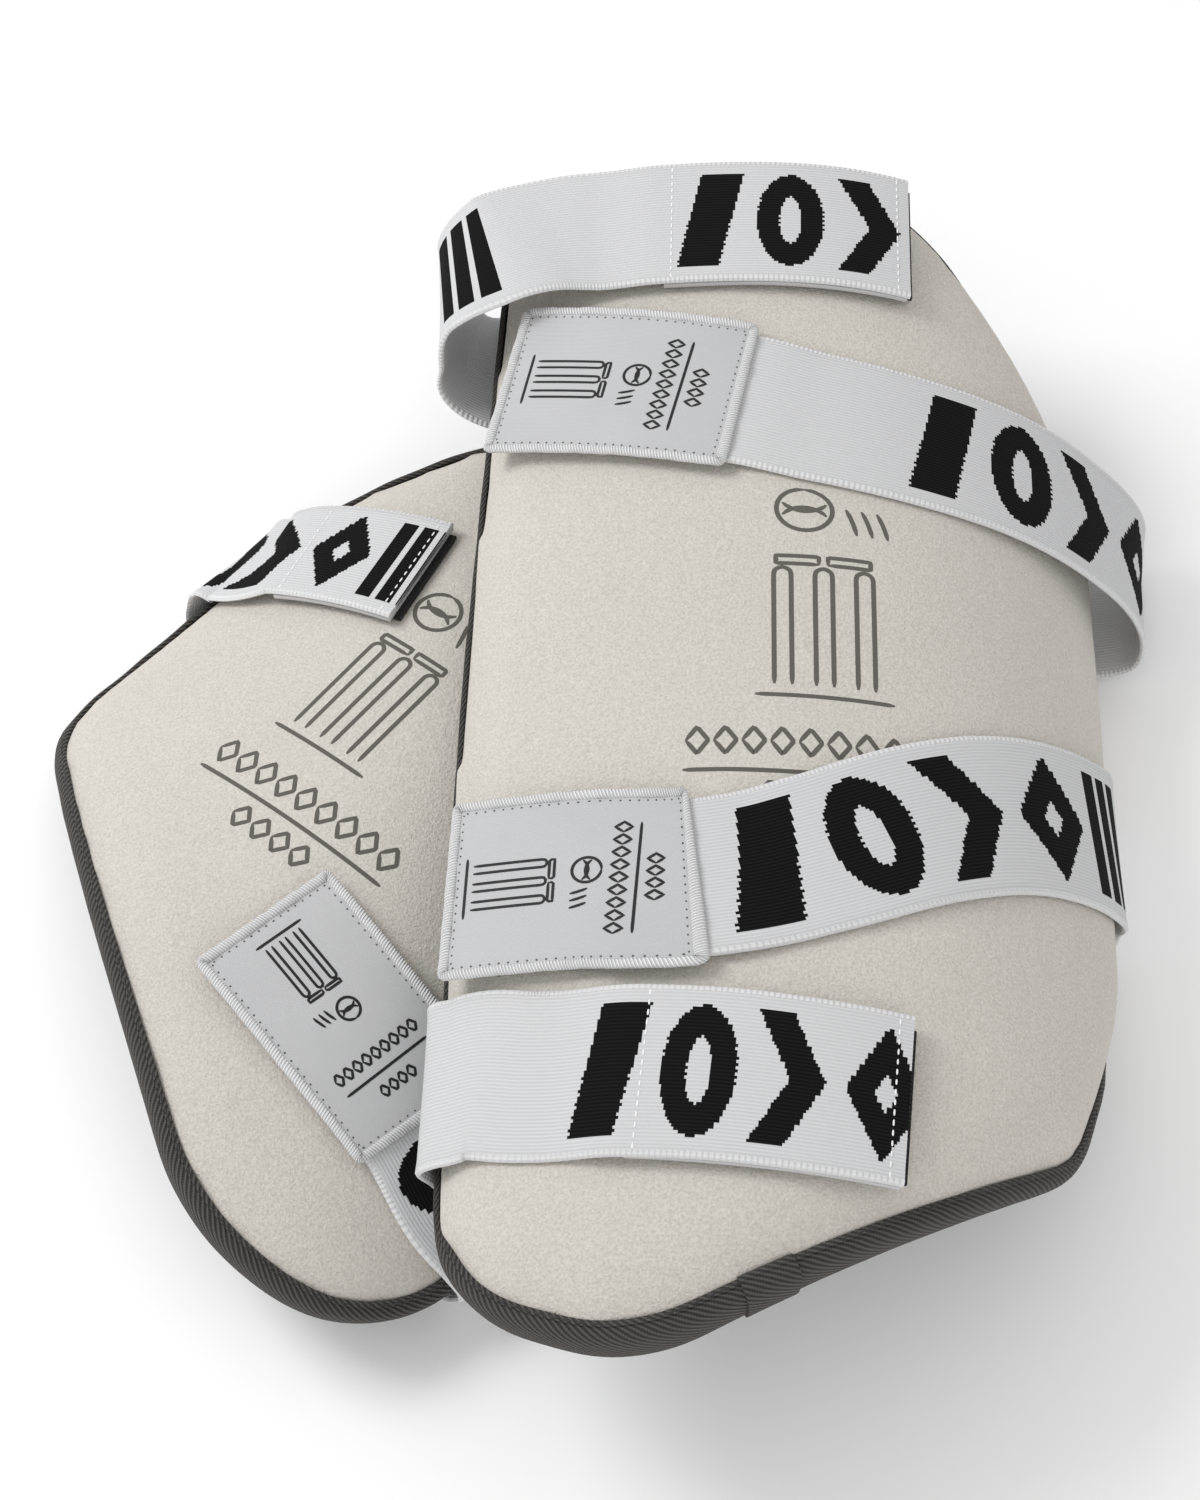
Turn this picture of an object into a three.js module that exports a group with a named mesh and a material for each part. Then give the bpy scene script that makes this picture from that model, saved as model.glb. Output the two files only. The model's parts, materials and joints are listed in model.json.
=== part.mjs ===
// Two-piece cricket thigh guard: a large outer guard lying over a small inner guard,
// each made of layered foam with a bound edge, and held by wide elastic straps.
// Units are millimetres, +Z is up, and the table is at z = 0.
import * as THREE from 'three';

// ---------------------------------------------------------------- driving sizes
const GAP = 0.3; // room between pieces that touch
const PLY_GAP = 0.4; // the same, between the plies of a strap
const RIM_GAP = 0.7; // the same, between the foam layers and the wall of the edge binding

const REST_CLEARANCE = 1.4; // height that stays free between the outer guard and the inner one

// A guard is a flat pattern (s across, t along) bent about its length.
// width and length are its real size; its corners [s, t, rounding radius] and the routes of
// its straps are drawn on the pattern, and stretch with those two sizes.
// tilt is the slope of the pattern at s = 0; turn and quicken say how it bends with s.
// at is where s = t = 0 lies in plan.
const OUTER = {
  name: 'outer',
  width: 231,
  length: 392,
  at: [57, 30],
  yaw: -1.5,
  tilt: 4,
  turn: 0.42,
  quicken: 0.0018,
  thickness: 20,
  corners: [
    [-98, -215, 38], [-44, -234, 45], [84, -170, 42], [123, -112, 55], [131, -55, 120], [131, 60, 60],
    [33, 158, 60], [-92, 155, 36], [-100, -40, 2000],
  ],
  lap: { s: -8, side: -1 },
};
const INNER = {
  name: 'inner',
  width: 229,
  length: 268,
  at: [-88, -22],
  yaw: -39,
  tilt: -5,
  turn: 0.32,
  quicken: -0.0002,
  thickness: 16,
  corners: [
    [-100, -16, 30], [62, -115, 70], [128, -107, 42], [129, 10, 800],
    [110, 150, 48], [-40, 153, 45], [-83, 97, 90],
  ],
  lap: { s: 20, side: 1 },
};

// Layers of a guard from face to back: share of the thickness that each one takes.
const LAYERS = [
  { name: 'face_cover', share: 0.08, colour: '#ddd8cc' },
  { name: 'impact_foam', share: 0.36, colour: '#e9e4d6' },
  { name: 'foam_insert', share: 0.14, colour: '#4a4c50' },
  { name: 'comfort_foam', share: 0.34, colour: '#e9e4d6' },
  { name: 'back_lining', share: 0.08, colour: '#3c3d40' },
];
const STATION_STEP = 10.5; // spacing of the bend lines across a guard
const BINDING = { wall: 1.2, flange: 4.5, cover: 1.2, round: 2.2, colour: '#3a3835' };
const LAP = { length: 11, thick: 0.8, past: 0.7 }; // the lap reaches past the binding's flange

// Elastic straps. Each path runs from the free end of the label tab, over the face, round
// both edges and back to the free end of the plain tail: [s, t, height of its underside over
// the face or under the back]. edge says which of its edges the t of a run is measured to:
// 1 is the one at higher t, -1 the one at lower t and 0 the middle, so a wider strap grows
// away from its own other run.
const BAND = { thick: 1.6, colour: '#dcdcdc' };
const TAB = { overhang: 3, border: 2.9, borderThick: 1.8, labelThick: 0.7 };
const HOOK = { thick: 1.0, margin: 3.5 };
const BACKING = 1.1; // thickness of the folded-under ply of a tail
const RUN_RISE = BINDING.cover; // band over the face, level with the top of the binding
const HOOK_RISE = BINDING.cover + 0.3; // hook patch over the face, clear of the binding
const EASE = 22; // length over which a band comes down beside the plies under its end

const UPPER = {
  name: 'upper', guard: OUTER, width: 49, tabLength: 72, tailLength: 70, tabRange: 65, tailRange: 60,
  edge: { front: 1, tail: -1 },
  front: [[-85, 98.5, RUN_RISE], [-49, 90.5, RUN_RISE], [-14, 82, RUN_RISE], [18, 76.5, RUN_RISE],
    [55, 74.5, 2.6], [88, 73.5, 6]],
  right: { t: 72.5, out: 8.5, under: 2.6 },
  back: [[90, 56, 2.6], [40, 70, 1.4], [-15, 86, 1.4], [-65, 100, 2.2]],
  left: { t: [78.5, 86.5, 94.5], out: 14, over: 13 },
  tail: [[-66, 101.5, 8], [-40, 102.5, 1.8], [0, 102, 1.9], [31, 101.5, 2.7]],
};
const LOWER = {
  name: 'lower', guard: OUTER, width: 49, tabLength: 68, tailLength: 66, tabRange: 65, tailRange: 60,
  edge: { front: -1, tail: 1 },
  front: [[-93.5, -128, RUN_RISE], [-59, -129, RUN_RISE], [-26, -130, RUN_RISE], [4, -120.5, RUN_RISE],
    [32, -106.5, RUN_RISE], [62, -94.5, RUN_RISE], [95, -85.5, 1.6]],
  right: { t: -78.5, out: 0.6, under: 2.6 },
  back: [[90, -58, 1.6], [40, -80, 1.4], [-20, -108, 1.4], [-70, -137, 1.4]],
  left: { t: [-123.5, -130, -133], out: 4.6, over: 2.6 },
  tail: [[-70, -135.5, RUN_RISE], [-43, -137.5, RUN_RISE], [-10, -141, RUN_RISE], [23, -144.5, RUN_RISE]],
};
const UNDER = {
  name: 'inner', guard: INNER, width: 41, tabLength: 71, tailLength: 43, tabRange: 2, tailRange: 60,
  edge: { front: 0, tail: 0 },
  front: [[21, -38, RUN_RISE], [55, -45, RUN_RISE], [91, -51.5, RUN_RISE]],
  right: { t: -58, out: 2.2, under: 2.3 },
  back: [[88, -58, 1.6], [40, -34, 1.4], [-10, 6, 1.4], [-60, 48, 1.6]],
  left: { t: [58, 62, 66], out: 2.2, over: 2.4 },
  tail: [[-64, 71, RUN_RISE], [-44, 77, RUN_RISE], [-21, 82.5, RUN_RISE]],
};
const STRAPS = [UPPER, LOWER, UNDER];

// ---------------------------------------------------------------- materials
const made = new Map();
function material(name, colour, roughness = 0.9) {
  if (!made.has(name)) {
    made.set(name, new THREE.MeshStandardMaterial({ name, color: colour, roughness, metalness: 0 }));
  }
  return made.get(name);
}

// ---------------------------------------------------------------- bent sheet
const RAD = Math.PI / 180;

// how far a guard's pattern is stretched across and along to reach its real size
function stretch(guard) {
  const reach = (axis) => {
    const places = guard.corners.map((corner) => corner[axis]);
    return Math.max(...places) - Math.min(...places);
  };
  return { across: guard.width / reach(0), along: guard.length / reach(1) };
}

// height of each guard's s = t = 0
const level = new Map([[OUTER, 0], [INNER, 0]]);

class Sheet {
  constructor(guard) {
    this.guard = guard;
    this.across = stretch(guard).across;
    this.turnTo = new THREE.Matrix4().makeRotationZ(guard.yaw * RAD);
    this.origin = new THREE.Vector3(...guard.at, level.get(guard));
  }

  // slope of the sheet at s, in radians: a wider guard has the same bends, spread out
  slope(s) {
    const drawn = s / this.across;
    return (this.guard.tilt + this.guard.turn * drawn + this.guard.quicken * drawn * drawn) * RAD;
  }

  // the bent line at s, by summing short straight steps
  bend(s) {
    const steps = 48;
    let x = 0;
    let z = 0;
    for (let k = 0; k < steps; k += 1) {
      const angle = this.slope((s * (k + 0.5)) / steps);
      x += (Math.cos(angle) * s) / steps;
      z -= (Math.sin(angle) * s) / steps;
    }
    return [x, z];
  }

  point(s, t, h) {
    const [x, z] = this.bend(s);
    const angle = this.slope(s);
    const local = new THREE.Vector3(x + h * Math.sin(angle), t, z + h * Math.cos(angle));
    return local.applyMatrix4(this.turnTo).add(this.origin);
  }
}

// ---------------------------------------------------------------- flat outlines
// polygon with rounded corners, as a closed list of points, anticlockwise; two roundings that
// would meet on an edge are both made smaller
function roundedOutline(corners) {
  const count = corners.length;
  const places = corners.map(([s, t]) => new THREE.Vector2(s, t));
  const turns = corners.map((corner, i) => {
    const here = places[i];
    const before = places.at(i - 1).clone().sub(here).normalize();
    const after = places[(i + 1) % count].clone().sub(here).normalize();
    const half = Math.acos(THREE.MathUtils.clamp(before.dot(after), -1, 1)) / 2;
    return { here, before, after, half, reach: corner[2] / Math.tan(half) };
  });
  const room = turns.map((turn, i) => {
    const next = turns[(i + 1) % count];
    return Math.min(1, (0.98 * turn.here.distanceTo(next.here)) / (turn.reach + next.reach));
  });
  return turns.flatMap(({ here, before, after, half, reach }, i) => {
    const radius = reach * Math.min(room.at(i - 1), room[i]) * Math.tan(half);
    const sweep = Math.PI - 2 * half;
    const centre = before.clone().add(after).normalize().multiplyScalar(radius / Math.sin(half)).add(here);
    const start = before.clone().multiplyScalar(radius / Math.tan(half)).add(here);
    const steps = Math.max(2, Math.ceil(sweep / (16 * RAD)));
    return Array.from({ length: steps + 1 }, (_, k) => start.clone().rotateAround(centre, (sweep * k) / steps));
  });
}

// a guard's outline at its real size
function outlineOf(guard) {
  const { across, along } = stretch(guard);
  const rounding = Math.sqrt(across * along);
  return roundedOutline(guard.corners.map(([s, t, radius]) => [s * across, t * along, radius * rounding]));
}

// inward direction at each point, long enough to keep walls at an even thickness
function inwardMitres(points) {
  return points.map((p, i) => {
    const a = p.clone().sub(points.at(i - 1)).normalize();
    const b = points[(i + 1) % points.length].clone().sub(p).normalize();
    const na = new THREE.Vector2(-a.y, a.x);
    const nb = new THREE.Vector2(-b.y, b.x);
    const mid = na.clone().add(nb).normalize();
    return mid.multiplyScalar(1 / mid.dot(na));
  });
}

function inset(points, distance) {
  const mitres = inwardMitres(points);
  return points.map((p, i) => p.clone().addScaledVector(mitres[i], distance));
}

// lowest and highest t of an outline on the line of constant s
function span(outline, s) {
  const hits = [];
  outline.forEach((a, i) => {
    const b = outline[(i + 1) % outline.length];
    if ((a.x <= s) === (b.x <= s)) return;
    hits.push(a.y + ((s - a.x) / (b.x - a.x)) * (b.y - a.y));
  });
  return [Math.min(...hits), Math.max(...hits)];
}

// ---------------------------------------------------------------- solids
function solid(name, positions, faces, look) {
  const geometry = new THREE.BufferGeometry();
  const numbers = positions.flatMap((p) => [p.x, p.y, p.z]);
  geometry.setAttribute('position', new THREE.Float32BufferAttribute(numbers, 3));
  geometry.setIndex(faces);
  geometry.computeVertexNormals();
  const mesh = new THREE.Mesh(geometry, look);
  mesh.name = name;
  return mesh;
}

// turns all faces round if they enclose their volume inside out
function outward(positions, faces) {
  let volume = 0;
  for (let k = 0; k < faces.length; k += 3) {
    const [a, b, c] = [positions[faces[k]], positions[faces[k + 1]], positions[faces[k + 2]]];
    volume += a.dot(b.clone().cross(c));
  }
  return volume >= 0 ? faces : [...faces].reverse();
}

// Joins equal rings of points into a tube. With no capShape the last ring joins the first;
// otherwise capShape, a flat copy of the ring, closes both ends.
function tube(name, rings, capShape, look) {
  const size = rings[0].length;
  const positions = rings.flat();
  const faces = [];
  const joins = capShape ? rings.length - 1 : rings.length;
  for (let r = 0; r < joins; r += 1) {
    const a = r * size;
    const b = ((r + 1) % rings.length) * size;
    for (let k = 0; k < size; k += 1) {
      const next = (k + 1) % size;
      const [p, q, u, v] = [a + k, b + k, b + next, a + next];
      const straight = positions[p].distanceTo(positions[u]) <= positions[q].distanceTo(positions[v]);
      if (straight) faces.push(p, q, u, p, u, v);
      else faces.push(p, q, v, q, u, v);
    }
  }
  if (capShape) {
    const end = (rings.length - 1) * size;
    const way = Math.sign(THREE.ShapeUtils.area(capShape));
    THREE.ShapeUtils.triangulateShape(capShape, []).forEach((corners) => {
      const sameWay = Math.sign(THREE.ShapeUtils.area(corners.map((i) => capShape[i]))) === way;
      const [i, j, k] = sameWay ? corners : [...corners].reverse();
      faces.push(i, j, k, end + k, end + j, end + i);
    });
  }
  return solid(name, positions, outward(positions, faces), look);
}

// ---------------------------------------------------------------- one guard
// lines of constant s on which all layers of a guard have their points
function stations(outline) {
  const left = Math.min(...outline.map((p) => p.x));
  const right = Math.max(...outline.map((p) => p.x));
  const near = [0.25, 1.2, 3, 6, 10.5, 16, 22.5, 30];
  const from = left + near.at(-1);
  const to = right - near.at(-1);
  const count = Math.ceil((to - from) / STATION_STEP);
  const middle = Array.from({ length: count - 1 }, (_, k) => from + ((to - from) * (k + 1)) / count);
  return [...near.map((d) => left + d), ...middle, ...near.map((d) => right - d).reverse()];
}

function guardMeshes(guard) {
  const sheet = new Sheet(guard);
  const outline = outlineOf(guard);
  const half = guard.thickness / 2;
  const meshes = [];

  const core = inset(outline, BINDING.wall + RIM_GAP);
  const lines = stations(core);
  const spans = lines.map((s) => span(core, s));
  const solidHeight = guard.thickness - GAP * (LAYERS.length - 1);
  const flat = [[0, 0], [1, 0], [1, 1], [0, 1]].map(([x, y]) => new THREE.Vector2(x, y));
  let top = half;
  LAYERS.forEach((layer) => {
    const bottom = top - solidHeight * layer.share;
    const rings = lines.map((s, i) => {
      const [low, high] = spans[i];
      return [[low, bottom], [high, bottom], [high, top], [low, top]].map(([t, h]) => sheet.point(s, t, h));
    });
    meshes.push(tube(`${guard.name}_${layer.name}`, rings, flat, material(layer.name, layer.colour)));
    top = bottom - GAP;
  });

  // the binding has its points beside those of the layers: along the low side, then back
  const lows = lines.map((s, i) => new THREE.Vector2(s, spans[i][0]));
  const highs = lines.map((s, i) => new THREE.Vector2(s, spans[i][1]));
  const rimPoints = [...lows, ...highs.reverse()];
  const mitres = inwardMitres(rimPoints);
  const rim = half + GAP;
  const skin = rim + BINDING.cover;
  const { wall, flange, round } = BINDING;
  const channel = [
    [0, -skin + round], [round, -skin], [flange, -skin], [flange, -rim], [wall, -rim],
    [wall, rim], [flange, rim], [flange, skin], [round, skin], [0, skin - round],
  ];
  const bindingRings = rimPoints.map((point, i) => channel.map(([d, h]) => {
    const p = point.clone().addScaledVector(mitres[i], d - wall - RIM_GAP);
    return sheet.point(p.x, p.y, h);
  }));
  const binding = material('edge_binding', BINDING.colour);
  meshes.push(tube(`${guard.name}_edge_binding`, bindingRings, null, binding));

  // the overlapping end of the binding tape, a short wider channel over the first one
  const a = GAP + LAP.thick;
  const b = skin + GAP;
  const c = b + LAP.thick;
  const end = BINDING.flange + LAP.past;
  const lapShape = [
    [-a, -c + BINDING.round], [BINDING.round - a, -c], [end, -c], [end, -b],
    [BINDING.round - 0.1, -b], [-GAP, -b + BINDING.round], [-GAP, b - BINDING.round],
    [BINDING.round - 0.1, b], [end, b], [end, c], [BINDING.round - a, c], [-a, c - BINDING.round],
  ];
  const lapRings = [];
  const steps = 2;
  for (let k = 0; k <= steps; k += 1) {
    const s = guard.lap.s * stretch(guard).across + LAP.length * (k / steps - 0.5);
    const [low, high] = span(outline, s);
    const [low2, high2] = span(outline, s + 0.5);
    const t = guard.lap.side < 0 ? low : high;
    const slope = (guard.lap.side < 0 ? low2 - low : high2 - high) / 0.5;
    const inward = new THREE.Vector2(-slope, 1).normalize().multiplyScalar(-guard.lap.side);
    lapRings.push(lapShape.map(([d, h]) => sheet.point(s + inward.x * d, t + inward.y * d, h)));
  }
  const lapFlat = lapShape.map(([d, h]) => new THREE.Vector2(d, h));
  meshes.push(tube(`${guard.name}_binding_lap`, lapRings, lapFlat, material('binding_lap', BINDING.colour)));
  return meshes;
}

// ---------------------------------------------------------------- straps
// A ribbon follows a strap's path. at(u, w, d) is the point at length u along it, w to
// the side of its centre line and d outwards from its underside.
class Ribbon {
  constructor(strap) {
    this.sheet = new Sheet(strap.guard);
    const { right, left } = edgesAt(strap);
    this.limits = [left + 6, right - 6];
    this.curve = new THREE.CatmullRomCurve3(pathKnots(strap, left, right), false, 'centripetal');
    this.curve.arcLengthDivisions = 1200;
    this.length = this.curve.getLength();
    this.strap = strap;
    this.markStops();
  }

  // extra height over the face of a strap's end, for the plies that lie under it
  lift(u) {
    const { tabLength, tailLength } = this.strap;
    const hook = HOOK_RISE + HOOK.thick + PLY_GAP - RUN_RISE;
    const backed = hook + BACKING + PLY_GAP;
    const tailStart = this.length - tailLength;
    const { smoothstep } = THREE.MathUtils;
    const tab = 1 - smoothstep(u, tabLength, tabLength + EASE);
    const tail = smoothstep(u, tailStart - EASE, tailStart);
    return hook * tab + backed * tail;
  }

  frame(u) {
    const share = THREE.MathUtils.clamp(u / this.length, 0, 1);
    const place = (k) => {
      const p = this.curve.getPointAt(THREE.MathUtils.clamp(k, 0, 1));
      return { p, at: this.sheet.point(p.x, p.y, p.z + this.lift(k * this.length)) };
    };
    const { p, at } = place(share);
    const along = place(share + 0.0015).at.sub(place(share - 0.0015).at).normalize();
    const anchor = THREE.MathUtils.clamp(p.x, ...this.limits);
    const out = at.clone().sub(this.sheet.point(anchor, p.y, 0)).normalize();
    const side = new THREE.Vector3().crossVectors(out, along).normalize();
    out.crossVectors(along, side).normalize();
    return { at, along, out, side };
  }

  at(u, w, d) {
    const { at, out, side } = this.frame(u);
    return at.clone().addScaledVector(side, w).addScaledVector(out, d);
  }

  // lengths that all plies of the strap share as stations, closer together where it turns
  markStops(longest = 11, sharpest = 13) {
    this.marks = [];
    let from = this.frame(0);
    let since = 0;
    for (let u = 1; u < this.length; u += 1) {
      since += 1;
      const here = this.frame(u);
      if (since >= longest || here.out.angleTo(from.out) > sharpest * RAD) {
        this.marks.push(u);
        from = here;
        since = 0;
      }
    }
  }

  stops(u0, u1) {
    return [u0, ...this.marks.filter((u) => u > u0 + 1.5 && u < u1 - 1.5), u1];
  }
}

// real t of the strap's centre line, from the t that a run's table gives
function runPlaces(strap) {
  const { along } = stretch(strap.guard);
  const half = strap.width / 2;
  return {
    front: (t) => t * along - strap.edge.front * half,
    tail: (t) => t * along - strap.edge.tail * half,
    back: (t) => t * along,
  };
}

// how far the guard reaches to the right and left where the strap wraps round it
function edgesAt(strap) {
  const turned = outlineOf(strap.guard).map((p) => new THREE.Vector2(p.y, p.x));
  const place = runPlaces(strap);
  const reach = (t) => [-1, -0.5, 0, 0.5, 1].map((k) => span(turned, t + (k * strap.width) / 2));
  return {
    right: Math.max(...reach(place.front(strap.right.t)).map(([, high]) => high)),
    left: Math.min(...reach(place.tail(strap.left.t[1])).map(([low]) => low)),
  };
}

// knots of a strap's path; heights in the table are over the face or under the back
function pathKnots(strap, left, right) {
  const half = strap.guard.thickness / 2;
  const face = half + GAP;
  const { across } = stretch(strap.guard);
  const place = runPlaces(strap);
  const over = (run) => ([s, t, rise]) => new THREE.Vector3(s * across, place[run](t), face + rise);
  const under = ([s, t, rise]) => new THREE.Vector3(s * across, place.back(t), -face - rise);
  const { out, under: below } = strap.right;
  const rightT = place.front(strap.right.t);
  const [low, mid, high] = strap.left.t.map(place.tail);
  const loop = strap.left;
  const rim = half + GAP + BINDING.cover;
  return [
    ...strap.front.map(over('front')),
    new THREE.Vector3(right - 12, rightT, rim + 1 + out * 0.8),
    new THREE.Vector3(right - 2, rightT, rim + out * 0.75),
    new THREE.Vector3(right + below * 0.8, rightT, rim - 4),
    new THREE.Vector3(right + below, rightT, 0),
    new THREE.Vector3(right + below * 0.8, rightT, -rim + 3),
    new THREE.Vector3(right - 5, rightT, -rim - 2.2),
    ...strap.back.map(under),
    new THREE.Vector3(left + 4, low, -rim - 2.2 - loop.out * 0.1),
    new THREE.Vector3(left - loop.out * 0.85, (low + mid) / 2, -rim + 3),
    new THREE.Vector3(left - loop.out, mid, 1),
    new THREE.Vector3(left - loop.out * 0.75, (mid + high) / 2, rim + loop.over * 0.45),
    new THREE.Vector3(left + 6, high, rim + loop.over),
    ...strap.tail.map(over('tail')),
  ];
}

// a slab on a ribbon: from u0 to u1, w0 to w1 across and d0 to d1 deep
function strip(name, ribbon, [u0, u1], [w0, w1], [d0, d1], look) {
  const shape = [[w0, d0], [w1, d0], [w1, d1], [w0, d1]];
  const rings = ribbon.stops(u0, u1).map((u) => shape.map(([w, d]) => ribbon.at(u, w, d)));
  return tube(name, rings, shape.map(([w, d]) => new THREE.Vector2(w, d)), look);
}

// the overlocked border of a label: a closed frame with a rounded top
function border(name, ribbon, [u0, u1], halfWidth, [d0, d1], look) {
  const loop = [];
  const along = ribbon.stops(u0, u1);
  along.forEach((u) => loop.push([u, -halfWidth]));
  loop.push([u1, 0]);
  along.slice().reverse().forEach((u) => loop.push([u, halfWidth]));
  loop.push([u0, 0]);
  const points = loop.map(([u, w]) => new THREE.Vector2(u, w));
  const mitres = inwardMitres(points);
  const mid = TAB.border / 2;
  const shape = [[0, d0], [TAB.border, d0], [TAB.border, d1 - 0.7], [mid, d1], [0, d1 - 0.7]];
  const rings = points.map((p, i) => shape.map(([k, d]) => {
    const q = p.clone().addScaledVector(mitres[i], k);
    return ribbon.at(q.x, q.y, d);
  }));
  return tube(name, rings, null, look);
}

function strapMeshes(strap) {
  const ribbon = new Ribbon(strap);
  const w = strap.width / 2;
  const tabEnd = strap.tabLength;
  const tailStart = ribbon.length - strap.tailLength;
  const elastic = material('elastic_band', BAND.colour);
  const satin = material('label_satin', '#c9c9cc', 0.5);
  const thread = material('label_border', '#e4e4e4');
  const hook = material('hook_tape', '#1d1d1f');
  const backing = material('tail_backing', '#e6e6e6');
  const name = strap.name;
  const labelBase = BAND.thick + PLY_GAP;
  const plateHalf = w + TAB.overhang;
  const labelHalf = plateHalf - TAB.border - PLY_GAP;
  const labelEnd = tabEnd - 0.6;
  const hookHalf = w - HOOK.margin;
  const labelStart = TAB.border + PLY_GAP;
  const tailEnd = ribbon.length - 0.5;
  const hookDepth = [-PLY_GAP - HOOK.thick, -PLY_GAP];
  const backingBase = -PLY_GAP - BACKING;
  const make = (piece, lengths, half, depths, look) => (
    strip(`${name}_${piece}`, ribbon, lengths, [-half, half], depths, look));
  return [
    make('band', [tabEnd + 0.3, tailStart - 0.3], w, [0, BAND.thick], elastic),
    make('tab_band', [1.5, tabEnd - 0.3], w, [0, BAND.thick], elastic),
    make('tab_hook', [1.5 + HOOK.margin, tabEnd - HOOK.margin], hookHalf, hookDepth, hook),
    make('label', [labelStart, labelEnd - labelStart], labelHalf, [labelBase, labelBase + TAB.labelThick], satin),
    border(`${name}_label_border`, ribbon, [0, labelEnd], plateHalf, [labelBase, labelBase + TAB.borderThick], thread),
    make('tail_band', [tailStart + 0.3, ribbon.length], w, [0, BAND.thick], elastic),
    make('tail_backing', [tailStart + 1, tailEnd], w, [backingBase, -PLY_GAP], backing),
    make('tail_hook', [tailStart + 1 + HOOK.margin, tailEnd], hookHalf,
      [backingBase - PLY_GAP - HOOK.thick, backingBase - PLY_GAP], hook),
  ];
}

// ---------------------------------------------------------------- one guard on the other
// best height of the meshes on each plumb line of a grid, keyed by its place
function heights(meshes, best) {
  const step = 2;
  const map = new Map();
  meshes.forEach(({ geometry }) => {
    const { position } = geometry.attributes;
    const corner = (k) => new THREE.Vector3().fromBufferAttribute(position, geometry.index.getX(k));
    for (let k = 0; k < geometry.index.count; k += 3) {
      const face = new THREE.Triangle(corner(k), corner(k + 1), corner(k + 2));
      const plan = new THREE.Triangle(face.a.clone().setZ(0), face.b.clone().setZ(0), face.c.clone().setZ(0));
      if (plan.getArea() < 1e-6) continue;
      const box = new THREE.Box3().setFromPoints([plan.a, plan.b, plan.c]);
      for (let i = Math.ceil(box.min.x / step); i * step <= box.max.x; i += 1) {
        for (let j = Math.ceil(box.min.y / step); j * step <= box.max.y; j += 1) {
          const share = plan.getBarycoord(new THREE.Vector3(i * step, j * step, 0), new THREE.Vector3());
          if (Math.min(share.x, share.y, share.z) < 0) continue;
          const z = share.x * face.a.z + share.y * face.b.z + share.z * face.c.z;
          const key = `${i},${j}`;
          map.set(key, map.has(key) ? best(map.get(key), z) : z);
        }
      }
    }
  });
  return map;
}

// least height that is free between the meshes above and those below
function headroom(above, below) {
  const floor = heights(below, Math.max);
  let room = Infinity;
  heights(above, Math.min).forEach((z, key) => {
    if (floor.has(key)) room = Math.min(room, z - floor.get(key));
  });
  return room;
}

// ---------------------------------------------------------------- the whole set
const withStraps = (guard) => [
  ...guardMeshes(guard),
  ...STRAPS.filter((strap) => strap.guard === guard).flatMap(strapMeshes),
];
const innerMeshes = withStraps(INNER);
level.set(OUTER, REST_CLEARANCE - headroom(withStraps(OUTER), innerMeshes));

const set = new THREE.Group();
set.name = 'cricket_thigh_guard_set';
set.add(...withStraps(OUTER), ...innerMeshes);

// the base of the set is centred on the origin, with its lowest point on the table
const box = new THREE.Box3().setFromObject(set);
const centre = box.getCenter(new THREE.Vector3());
const shift = new THREE.Vector3(-centre.x, -centre.y, -box.min.z);
set.children.forEach((mesh) => mesh.geometry.translate(shift.x, shift.y, shift.z));

// where each strap end turns, and the axis about which it lifts off the face
set.userData.shift = shift.toArray();
set.userData.rise = level.get(OUTER);
set.userData.hinges = STRAPS.flatMap((strap) => {
  const ribbon = new Ribbon(strap);
  const ends = [['tab', strap.tabLength, 1], ['tail', ribbon.length - strap.tailLength, -1]];
  return ends.map(([end, u, way]) => ({
    name: `${strap.name}_${end}`,
    at: ribbon.at(u, 0, BAND.thick).add(shift).toArray(),
    axis: ribbon.frame(u).side.multiplyScalar(way).toArray(),
    range: strap[`${end}Range`],
  }));
});

export default set;
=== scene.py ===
"""Looks of a two-piece cricket thigh guard set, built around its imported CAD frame.

Shapes are worked out in millimetres, in the part's own frame, and written to Blender in metres.
"""

import json
import math

import bpy
import numpy as np
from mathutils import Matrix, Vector
from mathutils.bvhtree import BVHTree

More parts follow.
